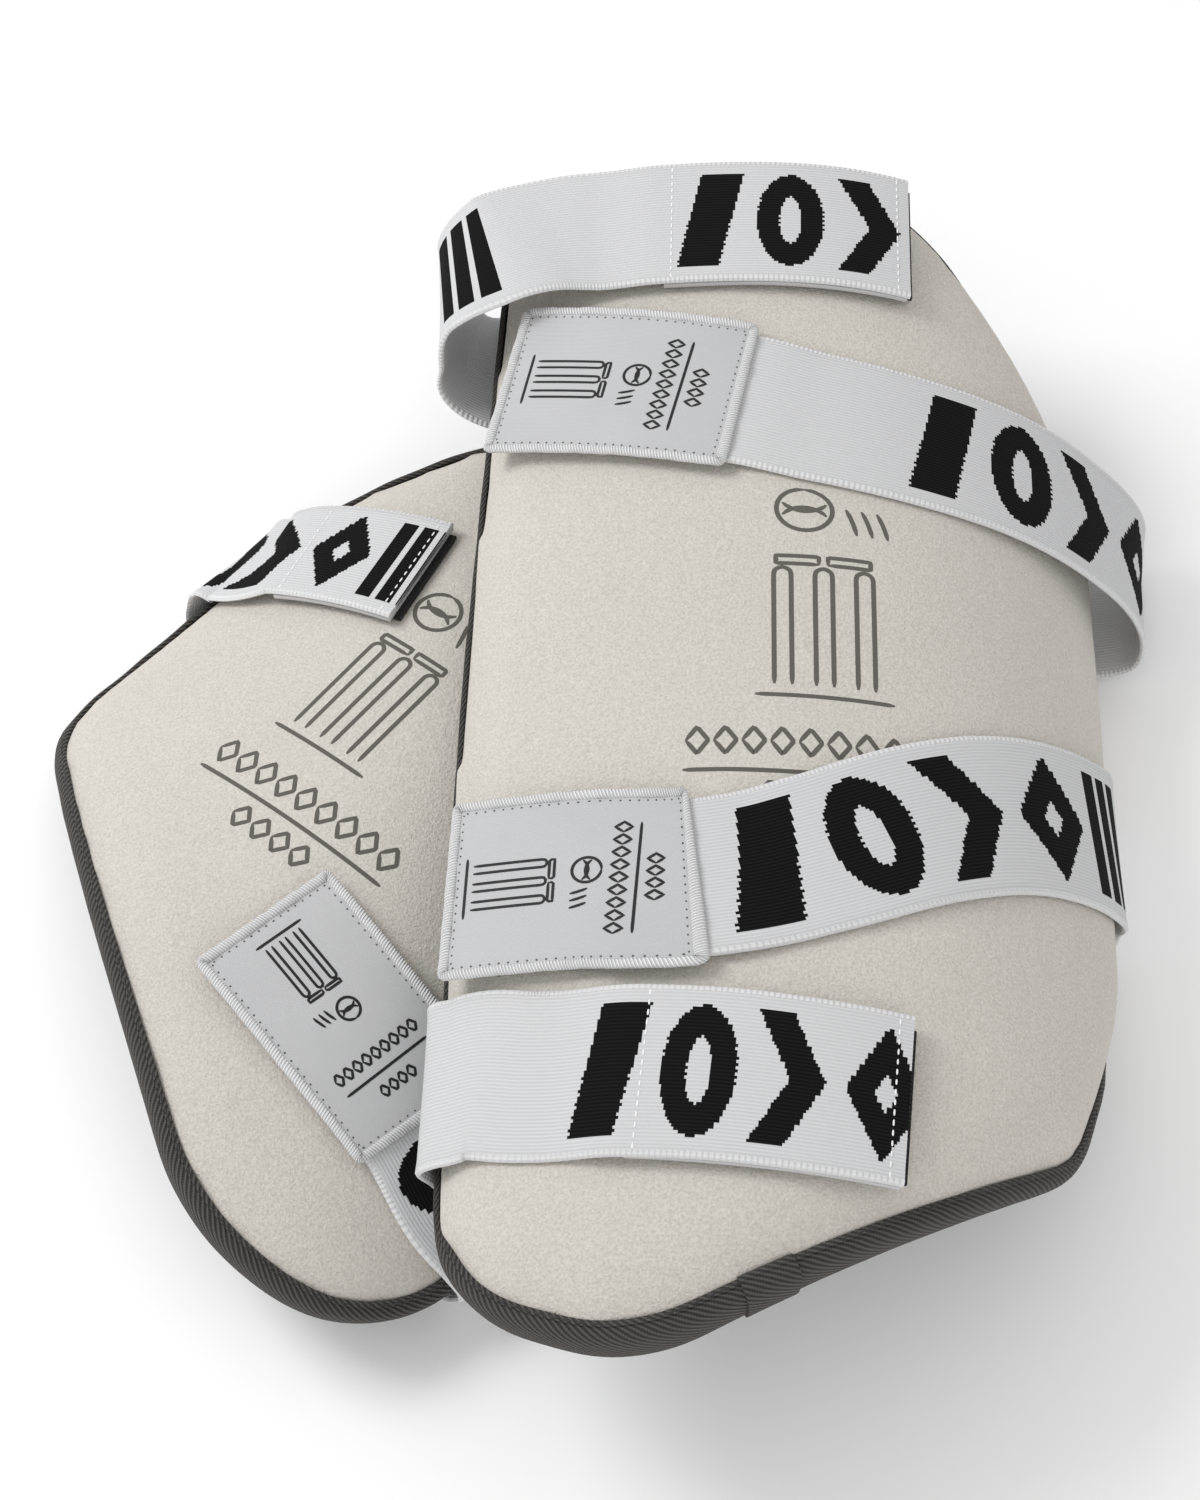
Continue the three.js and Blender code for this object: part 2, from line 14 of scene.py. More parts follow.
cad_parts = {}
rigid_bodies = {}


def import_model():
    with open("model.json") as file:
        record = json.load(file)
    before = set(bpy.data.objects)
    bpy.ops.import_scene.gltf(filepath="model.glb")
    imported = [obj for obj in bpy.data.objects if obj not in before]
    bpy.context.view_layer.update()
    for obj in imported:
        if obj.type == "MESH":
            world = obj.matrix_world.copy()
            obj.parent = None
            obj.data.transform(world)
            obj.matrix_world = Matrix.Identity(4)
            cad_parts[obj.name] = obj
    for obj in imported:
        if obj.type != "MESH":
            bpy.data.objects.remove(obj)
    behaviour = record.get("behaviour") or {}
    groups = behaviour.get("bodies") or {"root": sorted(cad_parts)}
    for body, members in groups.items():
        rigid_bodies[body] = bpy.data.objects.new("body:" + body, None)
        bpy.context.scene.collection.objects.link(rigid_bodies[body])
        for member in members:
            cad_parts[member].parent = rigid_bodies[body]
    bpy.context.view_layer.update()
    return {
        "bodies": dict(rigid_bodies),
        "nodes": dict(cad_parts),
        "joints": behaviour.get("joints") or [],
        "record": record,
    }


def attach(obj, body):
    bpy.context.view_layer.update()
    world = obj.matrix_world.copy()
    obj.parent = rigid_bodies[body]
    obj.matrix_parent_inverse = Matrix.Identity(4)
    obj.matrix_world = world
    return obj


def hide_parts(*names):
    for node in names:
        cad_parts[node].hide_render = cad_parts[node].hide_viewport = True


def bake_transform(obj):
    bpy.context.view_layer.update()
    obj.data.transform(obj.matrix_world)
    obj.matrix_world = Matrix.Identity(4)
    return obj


MM = 0.001
RNG = np.random.default_rng(7)

# ------------------------------------------------------------------ driving sizes, as in the CAD
GAP = 0.3  # between a guard's face and what lies on it
PLY_GAP = 0.4  # between the plies of a strap
COVER = 1.2  # thickness of the edge binding
RUN_RISE = COVER  # band over the face
HOOK_RISE = COVER + 0.3  # hook patch over the face
HOOK_THICK = 1.0
HOOK_MARGIN = 3.5
BACKING = 1.1
BAND_THICK = 1.6
EASE = 22.0  # length over which a band comes down beside the plies under its end
LABEL_OVERHANG = 3.0
LABEL_THICK = 0.7
BORDER_WIDE = 2.9
BORDER_THICK = 1.7

# origin: where s = t = 0 of each guard's pattern lies in the part's frame.
# narrow: from which outward direction, as its y, to which the flange narrows, and to what share.
# tuck: how far the top of the binding lies lower where it is narrow, half under the padded face.
OUTER = {
    "name": "outer",
    "origin": (57.389, 35.662, 83.322),
    "yaw": -1.5,
    "bends": (4, 0.42, 0.0018),
    "thickness": 20,
    "crown": 1.5,
    "rim": (-9.9, 3.2),
    "corners": [
        (-98, -215, 38),
        (-44, -234, 45),
        (84, -170, 42),
        (123, -112, 55),
        (131, -55, 120),
        (131, 60, 60),
        (33, 158, 60),
        (-92, 155, 36),
        (-100, -40, 2000),
    ],
    "lap": (-8, -1),
    "narrow": (-0.5, -0.1, 0.45),
    "tuck": 3.2,
}
INNER = {
    "name": "inner",
    "origin": (-87.611, -16.338, 43.403),
    "yaw": -39,
    "bends": (-5, 0.32, -0.0002),
    "thickness": 16,
    "crown": 1.0,
    "rim": (-7.9, 4.6),
    "corners": [
        (-100, -16, 30),
        (62, -115, 70),
        (128, -107, 42),
        (129, 10, 800),
        (110, 150, 48),
        (-40, 153, 45),
        (-83, 97, 90),
    ],
    "lap": (20, 1),
    "narrow": (0.1, 0.5, 0.6),
    "tuck": 0.8,
}

# Straps: each run lists [s, t, height of the underside]; t of the front and tail runs is
# measured to the edge that "edge" names (1 high, -1 low, 0 middle).
# right and left say how the strap turns round a guard's edges: places along t, then knots
# [s past the edge, height] on the right and [s past the edge, share of the turn, height] on the left.
# flare lifts the upper edge of the band off the guard, and sinks the lower one, at its right turn.
# motifs lists the woven stretches: [start, number of motifs, first motif, pitch]; a start below 0
# is measured back from the free end of the tail.
UPPER = {
    "name": "upper",
    "guard": OUTER,
    "width": 49,
    "tab": 72,
    "tail": 70,
    "edge": (1, -1),
    "front": [(-85, 98.5, RUN_RISE), (-49, 90.5, RUN_RISE), (-14, 82, RUN_RISE), (18, 76.5, RUN_RISE),
              (55, 74.5, 2.6), (88, 73.5, 7.5)],
    "right": (72.5, [(-12, 25), (-3, 22.5), (0.8, 11), (1.3, 0), (1.2, -8.5), (-5, -13.7)]),
    "back": [(90, 56, 2.6), (40, 70, 1.4), (-15, 86, 1.4), (-65, 100, 2.2)],
    "left": ((78.5, 86.5, 94.5), [(4, 0, -15.1), (-11.9, 0.25, -8.5), (-14, 0.5, 1), (-10.5, 0.75, 17.3),
                                  (6, 1, 24.5)]),
    "flare": 3.5,
    "tail_run": [(-66, 101.5, 8), (-40, 102.5, 1.8), (0, 102, 1.9), (31, 101.5, 2.7)],
    "motifs": [(118, 5, 0, 24.5), (-166, 2, 3, 24.5), (-65, 3, 0, 22.5)],
}
LOWER = {
    "name": "lower",
    "guard": OUTER,
    "width": 49,
    "tab": 68,
    "tail": 66,
    "edge": (-1, 1),
    "front": [(-93.5, -128, RUN_RISE), (-59, -129, RUN_RISE), (-26, -130, RUN_RISE), (4, -120.5, RUN_RISE),
              (32, -106.5, RUN_RISE), (62, -94.5, RUN_RISE), (95, -85.5, 1.6)],
    "right": (-78.5, [(-16, 11.2), (-7, 8.6), (0.6, 5.0), (1.9, -2), (1.4, -8.5), (-5, -12.9)]),
    "back": [(90, -58, 1.6), (40, -84, 1.4), (-20, -127, 1.4), (-70, -151, 1.4)],
    "left": ((-131.5, -132, -133), [(4, 0, -13), (-1.2, 0.25, -8.5), (-1.7, 0.5, -2), (-0.4, 0.75, 5.2),
                                    (7, 1, 8.8), (16, 1, 11)]),
    "flare": 0.0,
    "tail_run": [(-70, -135.5, RUN_RISE), (-43, -137.5, RUN_RISE), (-10, -141, RUN_RISE),
                 (23, -144.5, RUN_RISE)],
    "motifs": [(73, 5, 0, 29), (-80, 4, 0, 21.8)],
}
UNDER = {
    "name": "inner",
    "guard": INNER,
    "width": 41,
    "tab": 71,
    "tail": 43,
    "edge": (0, 0),
    "front": [(21, -38, RUN_RISE), (55, -45, RUN_RISE), (91, -51.5, RUN_RISE)],
    "right": (-58, [(-16, 9.4), (-7, 8), (0.6, 6.2), (1.9, 0), (1.4, -6), (-5, -10.6)]),
    "back": [(88, -58, 1.6), (40, -34, 1.4), (-10, 6, 1.4), (-60, 48, 1.6)],
    "left": ((58, 62, 66), [(4, 0, -10.6), (-1.4, 0.25, -6), (-2.1, 0.5, 0), (-0.8, 0.75, 6.4), (7, 1, 8.2),
                            (16, 1, 9.4)]),
    "flare": 0.0,
    "tail_run": [(-64, 71, RUN_RISE), (-44, 77, RUN_RISE), (-21, 82.5, RUN_RISE)],
    "motifs": [(73, 4, 1, 26), (-83, 4, 1, 23)],
}
STRAPS = [UPPER, LOWER, UNDER]
# a woven motif as it is drawn, before the pitch of its run stretches it
MOTIF_SPACE = 26.0
MOTIF_WIDE = 21.5
MOTIF_TALL = 37.2
MOTIF_BAND = 49.0  # band width that its height is drawn for

# padded guards
BINDING_REACH = 4.3  # how far the binding's flange reaches in over the face
WALL = 1.3  # room for the binding round the pad's edge
PROUD = 1.3  # how far the binding bulges out past the pad's outline
RIM_LIFT = 0.3  # the face's rise under the flange
FACE_RUN = 22.0  # length over which the face rises from the flange to its crown
BACK_RUN = 10.0
PRESS_ROOM = 0.45  # between a strap and the pad pressed in under it
VOXEL = 4.5
SWELL_CAP = 1.2
LINING_THICK = 1.4
CLOTH = {
    "quality": 5,
    "mass": 0.3,
    "tension_stiffness": 20,
    "compression_stiffness": 20,
    "shear_stiffness": 8,
    "bending_stiffness": 2.0,
    "use_pressure": True,
    "uniform_pressure_force": 4,
}
CLOTH_FRAMES = 20

# threads: length, pause and radius of each kind of stitch; for the label, of the dark dots that are painted
# shade in its needle holes
BINDING_STITCH = (2.6, 1.1, 0.28)
LABEL_HOLE_SHADE = (0.55, 2.0, 0.27)
HEM_STITCH = (1.7, 1.2, 0.26)
STITCH_DRIFT = 0.08  # how far a stitch strays to the side
THREAD_SIDES = 6
THREAD_PROFILE = [(0.0, 0.25), (0.08, 0.75), (0.3, 1.0), (0.7, 1.0), (0.92, 0.75), (1.0, 0.25)]

# a strap's band: places on either side of each hinge, one before it and one just past it
BEND_BEFORE = 7.0
BEND_PAST = 0.3
CUT_PAST_TURN = 26.0
CUT_BEFORE_TURN = 20.0

# colours: darkest and lightest of each surface
FACE_TONES = ((0.535, 0.50, 0.448), (0.635, 0.60, 0.545))
FACE_GRAINS = ((0.455, 0.425, 0.378), (0.735, 0.70, 0.645))
LINING_TONES = ((0.03, 0.031, 0.034), (0.075, 0.077, 0.083))
TWILL_TONES = ((0.006, 0.0055, 0.005), (0.105, 0.098, 0.09))
TWILL_WORN = (0.08, 0.076, 0.07)
ELASTIC_TONES = ((0.50, 0.502, 0.51), (0.69, 0.692, 0.702))
ELASTIC_CLOUD = (0.60, 0.60, 0.605)
SELVEDGE = (0.76, 0.76, 0.765)
MOTIF_TONES = ((0.002, 0.002, 0.002), (0.012, 0.012, 0.013))
SATIN_TONES = ((0.47, 0.472, 0.48), (0.56, 0.562, 0.57))
BORDER_TONES = ((0.56, 0.562, 0.57), (0.88, 0.88, 0.885))
HOOK_TONES = ((0.006, 0.006, 0.007), (0.035, 0.035, 0.037))
# colour and roughness of what has one colour all over
PLAIN_LOOKS = {
    "white_thread": ((0.84, 0.84, 0.85), 0.6),
    # painted shade: the dark dots that stand for the shade in the label's needle holes
    "needle_hole_shade": ((0.10, 0.10, 0.105), 0.8),
    "dark_thread": ((0.03, 0.029, 0.028), 0.6),
    "label_print": ((0.006, 0.006, 0.006), 0.6),
    "face_print": ((0.105, 0.096, 0.083), 0.9),
}

# stage and camera, in metres; each lamp has its place, side and power, and shines at the origin
FLOOR_HALF = 4.0
FLOOR_DROP = 0.0005
WORLD_LIGHT = 0.74
LAMPS = {"key": ((-0.85, 0.35, 0.95), 0.55, 8.5), "fill": ((0.4, -1.2, 0.9), 0.9, 3.2)}
CAMERA_TARGET = (0.0004, 0.0057, 0.0411)
CAMERA_DISTANCE = 0.85
CAMERA_ELEVATION = 58
LENS = 68.4
SENSOR = 36


# ------------------------------------------------------------------ bent sheet
class Sheet:
    """A guard's flat pattern, bent about its length: s across, t along, h off the mid-surface."""

    def __init__(self, guard):
        self.guard = guard
        self.origin = np.array(guard["origin"], float)
        yaw = math.radians(guard["yaw"])
        c, d = math.cos(yaw), math.sin(yaw)
        self.turn = np.array([[c, -d, 0], [d, c, 0], [0, 0, 1]])

    def slope(self, s):
        tilt, turn, quicken = self.guard["bends"]
        return np.radians(tilt + turn * s + quicken * s * s)

    def bend(self, s):
        steps = 48
        share = (np.arange(steps) + 0.5) / steps
        angle = self.slope(s[..., None] * share)
        return (np.cos(angle).sum(-1) * s / steps, -np.sin(angle).sum(-1) * s / steps)

    def point(self, s, t, h):
        s, t, h = np.broadcast_arrays(np.asarray(s, float), t, h)
        x, z = self.bend(s)
        angle = self.slope(s)
        local = np.stack([x + h * np.sin(angle), t, z + h * np.cos(angle)], -1)
        return local @ self.turn.T + self.origin

    def normal(self, s):
        angle = self.slope(np.asarray(s, float))
        return np.stack([np.sin(angle), np.zeros_like(angle), np.cos(angle)], -1) @ self.turn.T

    def pattern(self, points):
        """s, t and h of points near the sheet."""
        local = (points - self.origin) @ self.turn
        s = local[:, 0].copy()
        tilt, turn, quicken = self.guard["bends"]
        for _ in range(14):
            x, z = self.bend(s)
            angle = self.slope(s)
            ahead = (local[:, 0] - x) * np.cos(angle) - (local[:, 2] - z) * np.sin(angle)
            height = (local[:, 0] - x) * np.sin(angle) + (local[:, 2] - z) * np.cos(angle)
            bending = 1 + height * np.radians(turn + 2 * quicken * s)
            s += np.clip(ahead / bending, -12, 12)
        return s, local[:, 1], height


# ------------------------------------------------------------------ flat outlines
def rounded_outline(corners, step=2.5):
    """Closed outline with rounded corners and about even steps, anticlockwise."""
    places = np.array([c[:2] for c in corners], float)
    points = []
    for i, (s, t, radius) in enumerate(corners):
        here = places[i]
        before = places[i - 1] - here
        after = places[(i + 1) % len(places)] - here
        before /= np.linalg.norm(before)
        after /= np.linalg.norm(after)
        half = math.acos(before @ after) / 2
        sweep = math.pi - 2 * half
        middle = (before + after) / np.linalg.norm(before + after)
        centre = here + middle * radius / math.sin(half)
        start = here + before * radius / math.tan(half) - centre
        count = max(4, math.ceil(sweep * radius / step))
        for angle in np.linspace(0, sweep, count + 1):
            c, d = math.cos(angle), math.sin(angle)
            points.append(centre + (c * start[0] - d * start[1], d * start[0] + c * start[1]))
    closed = closed_up(np.array(points))
    length = travelled(closed)
    even = np.linspace(0, length[-1], int(length[-1] / step), endpoint=False)
    return row_at(even, length, closed)


def closed_up(points):
    """A closed line's points, with the first one again at the end."""
    return np.vstack([points, points[:1]])


def row_at(places, known, rows):
    """Rows interpolated at new places, from those at the known ones."""
    return np.stack([np.interp(places, known, column) for column in rows.T], -1)


def pairs(rows, columns):
    """A pair of values for each place of a grid. rows holds one value per row, or the whole grid."""
    rows = rows if rows.ndim == 2 else rows[:, None]
    return np.stack(np.broadcast_arrays(rows, columns), -1)


def travelled(path):
    """Distance along a path of points, from 0 at its first one."""
    return np.concatenate([[0], np.cumsum(np.linalg.norm(np.diff(path, axis=0), axis=1))])


def inward(outline):
    """Unit inward direction at each point of an anticlockwise outline."""
    ahead = np.roll(outline, -1, 0) - np.roll(outline, 1, 0)
    ahead /= np.linalg.norm(ahead, axis=1)[:, None]
    return np.stack([-ahead[:, 1], ahead[:, 0]], -1)


def span(outline, s):
    """Lowest and highest t of an outline at each s."""
    a = outline
    b = np.roll(outline, -1, 0)
    spans = []
    for value in np.atleast_1d(s):
        crossing = (a[:, 0] <= value) != (b[:, 0] <= value)
        share = (value - a[crossing, 0]) / (b[crossing, 0] - a[crossing, 0])
        hits = a[crossing, 1] + share * (b[crossing, 1] - a[crossing, 1])
        spans.append((hits.min(), hits.max()))
    return np.array(spans)


def depth_inside(outline, s, t):
    """Distance from each point to the outline, negative outside it."""
    points = np.stack([s, t], -1)
    a = outline
    b = np.roll(outline, -1, 0)
    edge = b - a
    best = np.full(len(points), 1e9)
    inside = np.zeros(len(points), bool)
    for start, way in zip(a, edge):
        off = points - start
        share = np.clip(off @ way / (way @ way), 0, 1)
        best = np.minimum(best, np.linalg.norm(off - share[:, None] * way, axis=1))
        crosses = (start[1] <= points[:, 1]) != (start[1] + way[1] <= points[:, 1])
        if way[1] != 0:
            inside ^= crosses & (points[:, 0] < start[0] + (points[:, 1] - start[1]) * way[0] / way[1])
    return np.where(inside, best, -best)


# ------------------------------------------------------------------ straps
def smoothstep(x, low, high):
    k = np.clip((x - low) / (high - low), 0, 1)
    return k * k * (3 - 2 * k)


class Ribbon:
    """A strap's path. at(u, w, d): length u along it, w off its centre line, d out from its underside."""

    def __init__(self, strap):
        self.strap = strap
        self.sheet = Sheet(strap["guard"])
        self.knots = self.path_knots()
        shares = np.linspace(0, 1, 1201)
        self.path = self.spline(shares)
        self.travelled = travelled(self.path)
        self.length = self.travelled[-1]
        self.stations = np.arange(-2, self.length + 2.5, 0.75)
        self.table = self.frames(self.stations)
        self.turn_at = self.stations[self.table[:, 9].argmax()]

    def path_knots(self):
        strap = self.strap
        guard = strap["guard"]
        half_width = strap["width"] / 2
        front_shift, tail_shift = (-edge * half_width for edge in strap["edge"])
        outline = rounded_outline(guard["corners"])
        turned = outline[:, ::-1]
        right_t, right_turn = strap["right"]
        right_t += front_shift
        left_places, left_turn = strap["left"]
        left_places = [t + tail_shift for t in left_places]
        reach = np.linspace(-half_width, half_width, 5)
        right = span(turned, right_t + reach)[:, 1].max()
        left = span(turned, left_places[1] + reach)[:, 0].min()
        self.limits = (left + 6, right - 6)
        face = guard["thickness"] / 2 + GAP
        run = [(s, t + front_shift, face + rise) for s, t, rise in strap["front"]]
        right_side = [(right + past, right_t, height) for past, height in right_turn]
        back = [(s, t, -face - rise) for s, t, rise in strap["back"]]
        left_side = [
            (left + past, np.interp(share, (0, 0.5, 1), left_places), height)
            for past, share, height in left_turn
        ]
        tail = [(s, t + tail_shift, face + rise) for s, t, rise in strap["tail_run"]]
        return np.array(run + right_side + back + left_side + tail, float)

    def spline(self, shares):
        """Centripetal curve through the knots."""
        knots = self.knots
        knots = np.vstack([2 * knots[0] - knots[1], knots, 2 * knots[-1] - knots[-2]])
        place = shares * (len(self.knots) - 1)
        cell = np.minimum(place.astype(int), len(self.knots) - 2)
        k = (place - cell)[:, None]
        p0, p1, p2, p3 = (knots[cell + i] for i in range(4))
        pairs = ((p0, p1), (p1, p2), (p2, p3))
        d0, d1, d2 = (np.linalg.norm(b - a, axis=1)[:, None] ** 0.5 for a, b in pairs)
        m1 = ((p1 - p0) / d0 - (p2 - p0) / (d0 + d1) + (p2 - p1) / d1) * d1
        m2 = ((p2 - p1) / d1 - (p3 - p1) / (d1 + d2) + (p3 - p2) / d2) * d1
        square = 3 * (p2 - p1) - 2 * m1 - m2
        cube = 2 * (p1 - p2) + m1 + m2
        return p1 + m1 * k + square * k**2 + cube * k**3

    def lift(self, u):
        """Extra height over the face, for the plies under a strap's ends."""
        hook = HOOK_RISE + HOOK_THICK + PLY_GAP - RUN_RISE
        backed = hook + BACKING + PLY_GAP
        tail_start = self.length - self.strap["tail"]
        tab = 1 - smoothstep(u, self.strap["tab"], self.strap["tab"] + EASE)
        return hook * tab + backed * smoothstep(u, tail_start - EASE, tail_start)

    def knot_place(self, u):
        """s, t and h of the centre line's underside at length u; past the ends it runs on straight."""
        inside = np.clip(u, 0, self.length)
        spots = row_at(inside, self.travelled, self.path)
        for end, near in ((0, 2), (-1, -3)):
            way = self.path[end] - self.path[near]
            way /= np.linalg.norm(way)
            beyond = np.maximum(-u if end == 0 else u - self.length, 0)
            spots = spots + beyond[:, None] * way
        spots[:, 2] += self.lift(inside)
        return spots

    def frames(self, u):
        spot = self.knot_place(u)
        at = self.sheet.point(*spot.T)
        reach = 0.0015 * self.length
        ahead = self.sheet.point(*self.knot_place(u + reach).T)
        behind = self.sheet.point(*self.knot_place(u - reach).T)
        along = ahead - behind
        along /= np.linalg.norm(along, axis=1)[:, None]
        anchor = self.sheet.point(np.clip(spot[:, 0], *self.limits), spot[:, 1], 0)
        out = at - anchor
        side = np.cross(out, along)
        side /= np.linalg.norm(side, axis=1)[:, None]
        out = np.cross(along, side)
        return np.concatenate([at, side, out, spot], 1)

    def at(self, u, w, d):
        """Points for matching arrays of u, w and d."""
        u, w, d = np.broadcast_arrays(np.asarray(u, float), w, d)
        row = row_at(u, self.stations, self.table[:, :9])
        near_turn = np.exp(-(((u - self.turn_at + 30) / 18) ** 2))
        lean = np.where(w > 0, w, 0.2 * w) / (self.strap["width"] / 2)
        d = d + self.strap["flare"] * near_turn * lean
        return row[..., 0:3] + row[..., 3:6] * w[..., None] + row[..., 6:9] * d[..., None]


# ------------------------------------------------------------------ meshes
def new_object(name, points, faces, look, uvs=None, sharp=60):
    """A mesh object from points in millimetres. uvs: {layer: one pair of values per face corner}."""
    mesh = bpy.data.meshes.new(name)
    mesh.from_pydata((np.asarray(points) * MM).tolist(), [], faces)
    for layer, values in (uvs or {}).items():
        mesh.uv_layers.new(name=layer).data.foreach_set("uv", np.asarray(values, np.float32).ravel())
    mesh.validate()
    mesh.materials.append(look)
    obj = bpy.data.objects.new(name, mesh)
    bpy.context.scene.collection.objects.link(obj)
    mesh.shade_smooth()
    mesh.set_sharp_from_angle(angle=math.radians(sharp))
    return obj


def sweep(rings, ring_uv=None, closed=False):
    """Faces and corner uvs of a tube. rings: (n, m, 3); ring_uv: (n or n + 1, m + 1, 2)."""
    n, m = rings.shape[:2]
    faces = []
    corner_uv = []
    for i in range(n if closed else n - 1):
        ahead = (i + 1) % n
        for j in range(m):
            k = (j + 1) % m
            faces.append((i * m + j, i * m + k, ahead * m + k, ahead * m + j))
            if ring_uv is not None:
                corner_uv += [ring_uv[i, j], ring_uv[i, j + 1], ring_uv[i + 1, j + 1], ring_uv[i + 1, j]]
    if not closed:
        faces.append(tuple(range(m))[::-1])
        faces.append(tuple((n - 1) * m + j for j in range(m)))
        if ring_uv is not None:
            corner_uv += [ring_uv[0, j] for j in range(m)][::-1]
            corner_uv += [ring_uv[n - 1, j] for j in range(m)]
    return rings.reshape(-1, 3), faces, corner_uv


def faces_point_out(points, faces):
    """Whether closed faces enclose their volume the right way round."""
    volume = 0.0
    for face in faces:
        a, b, c = points[face[0]], points[face[1]], points[face[2]]
        volume += a @ np.cross(b, c)
        if len(face) == 4:
            volume += a @ np.cross(c, points[face[3]])
    return volume >= 0


def turned_out(points, faces, judged=None):
    """The faces with their outsides out, judging by the first ones, up to the index judged."""
    return faces if faces_point_out(points, faces[:judged]) else [face[::-1] for face in faces]


def swept_object(name, rings, look, ring_uv=None, closed=False, layers=("weave",), sharp=60):
    """A tube as an object, with its faces out. ring_uv holds one (n, m + 1, 2) array per layer."""
    given = [ring_uv] if ring_uv is not None and not isinstance(ring_uv, list) else ring_uv
    points, faces, _ = sweep(rings, None, closed)
    flip = not faces_point_out(points, faces)
    uvs = {}
    for layer, values in zip(layers, given or []):
        corner_uv = np.array(sweep(rings, values, closed)[2])
        if flip:
            sizes = [len(face) for face in faces]
            starts = np.concatenate([[0], np.cumsum(sizes)])
            order = np.concatenate([np.arange(a, b)[::-1] for a, b in zip(starts[:-1], starts[1:])])
            corner_uv = corner_uv[order]
        uvs[layer] = corner_uv
    if flip:
        faces = [face[::-1] for face in faces]
    return new_object(name, points, faces, look, uvs, sharp)


def capsules(name, spans, radius, look, flat=0.7):
    """Short threads as one mesh. spans: (start, end, out) points in millimetres for each thread."""
    points = []
    faces = []
    sides = THREAD_SIDES
    profile = THREAD_PROFILE
    for start, end, out in spans:
        along = end - start
        side = np.cross(out, along)
        side /= np.linalg.norm(side)
        base = len(points)
        for share, size in profile:
            for k in range(sides):
                angle = 2 * math.pi * k / sides
                across = math.cos(angle) * radius * size * side
                up = math.sin(angle) * radius * size * flat * out
                points.append(start + along * share + across + up)
        rows = len(profile)
        for i in range(rows - 1):
            for k in range(sides):
                a, b = base + i * sides + k, base + i * sides + (k + 1) % sides
                faces.append((a, b, b + sides, a + sides))
        faces.append(tuple(base + k for k in range(sides))[::-1])
        faces.append(tuple(base + (rows - 1) * sides + k for k in range(sides)))
    points = np.array(points)
    faces = turned_out(points, faces, (len(profile) - 1) * sides + 2)
    return new_object(name, points, faces, look)


# ------------------------------------------------------------------ material helpers
class Wire:
    """A value in a node tree that sums can be written with."""

    def __init__(self, tree, socket):
        self.tree = tree
        self.socket = socket

    def math(self, operation, *others):
        node = self.tree.nodes.new("ShaderNodeMath")
        node.operation = operation
        for slot, value in zip(node.inputs, (self, *others)):
            if isinstance(value, Wire):
                self.tree.links.new(value.socket, slot)
            else:
                slot.default_value = value
        return Wire(self.tree, node.outputs[0])

    def __add__(self, other):
        return self.math("ADD", other)

    def __sub__(self, other):
        return self.math("SUBTRACT", other)

    def __mul__(self, other):
        return self.math("MULTIPLY", other)

    def __truediv__(self, other):
        return self.math("DIVIDE", other)

    def abs(self):
        return self.math("ABSOLUTE")

    def below(self, other):
        return self.math("LESS_THAN", other)

    def above(self, other):
        return self.math("GREATER_THAN", other)

    def least(self, other):
        return self.math("MINIMUM", other)

    def most(self, other):
        return self.math("MAXIMUM", other)

    def floor(self):
        return self.math("FLOOR")

    def wrap(self, size):
        return self.math("FLOORED_MODULO", size)

    def sine(self):
        return self.math("SINE")


def new_group(name, inputs, outputs):
    """An empty node group with the named float inputs and outputs."""
    group = bpy.data.node_groups.new(name, "ShaderNodeTree")
    for label, value in inputs.items():
        socket = group.interface.new_socket(label, in_out="INPUT", socket_type="NodeSocketFloat")
        socket.default_value = value
    for label in outputs:
        group.interface.new_socket(label, in_out="OUTPUT", socket_type="NodeSocketFloat")
    entry = group.nodes.new("NodeGroupInput")
    leave = group.nodes.new("NodeGroupOutput")
    return group, {key: Wire(group, entry.outputs[key]) for key in inputs}, leave


def motif_group():
    """Mask of the woven motifs. Along counts motifs, Across is the height over the centre in mm."""
    group, wires, leave = new_group("woven_motifs", {"Along": 0.0, "Across": 0.0}, ["Mask"])
    row_high = 0.9  # one woven row, in mm
    column_wide = 0.7
    row = (wires["Across"] / row_high).floor()
    y = (row + 0.5) * row_high
    number = wires["Along"].floor()
    x = (wires["Along"] - number) * MOTIF_SPACE
    x = ((x / column_wide).floor() + 0.5) * column_wide + (row.wrap(2) - 0.5) * 0.32
    kind = number.wrap(5)
    middle = MOTIF_WIDE / 2
    tall = MOTIF_TALL / 2
    from_centre = ((x - middle) / middle).abs() + (y / tall).abs()
    oval = ((x - middle) / middle).math("POWER", 2) + (y / tall).math("POWER", 2)
    hole = ((x - middle) / 3.4).math("POWER", 2) + (y / 9.5).math("POWER", 2)
    slant = (x - middle - y * 0.2).abs().below(7.0)
    ring = oval.below(1.0) * hole.above(1.0)
    chevron = (x - 15.2 + y.abs() * 0.55).abs().below(5.0)
    diamond = from_centre.below(1.06) * from_centre.above(0.3)
    bars = (x.wrap(7.7) - 2.8).abs().below(2.8) * x.below(MOTIF_WIDE)
    mask = None
    for value, shape in enumerate((slant, ring, chevron, diamond, bars)):
        part = shape * (kind - value).abs().below(0.5)
        mask = part if mask is None else mask + part
    mask = mask * y.abs().below(tall) * wires["Along"].above(0.0)
    group.links.new(mask.socket, leave.inputs["Mask"])
    return group


def grain_group():
    """Noise in the object's own space. Scale counts features per metre."""
    group, wires, leave = new_group("grain", {"Scale": 100.0, "Detail": 2.0, "Roughness": 0.5}, ["Height"])
    place = group.nodes.new("ShaderNodeTexCoord")
    noise = group.nodes.new("ShaderNodeTexNoise")
    for label, wire in wires.items():
        group.links.new(wire.socket, noise.inputs[label])
    group.links.new(place.outputs["Object"], noise.inputs["Vector"])
    group.links.new(noise.outputs["Fac"], leave.inputs["Height"])
    return group


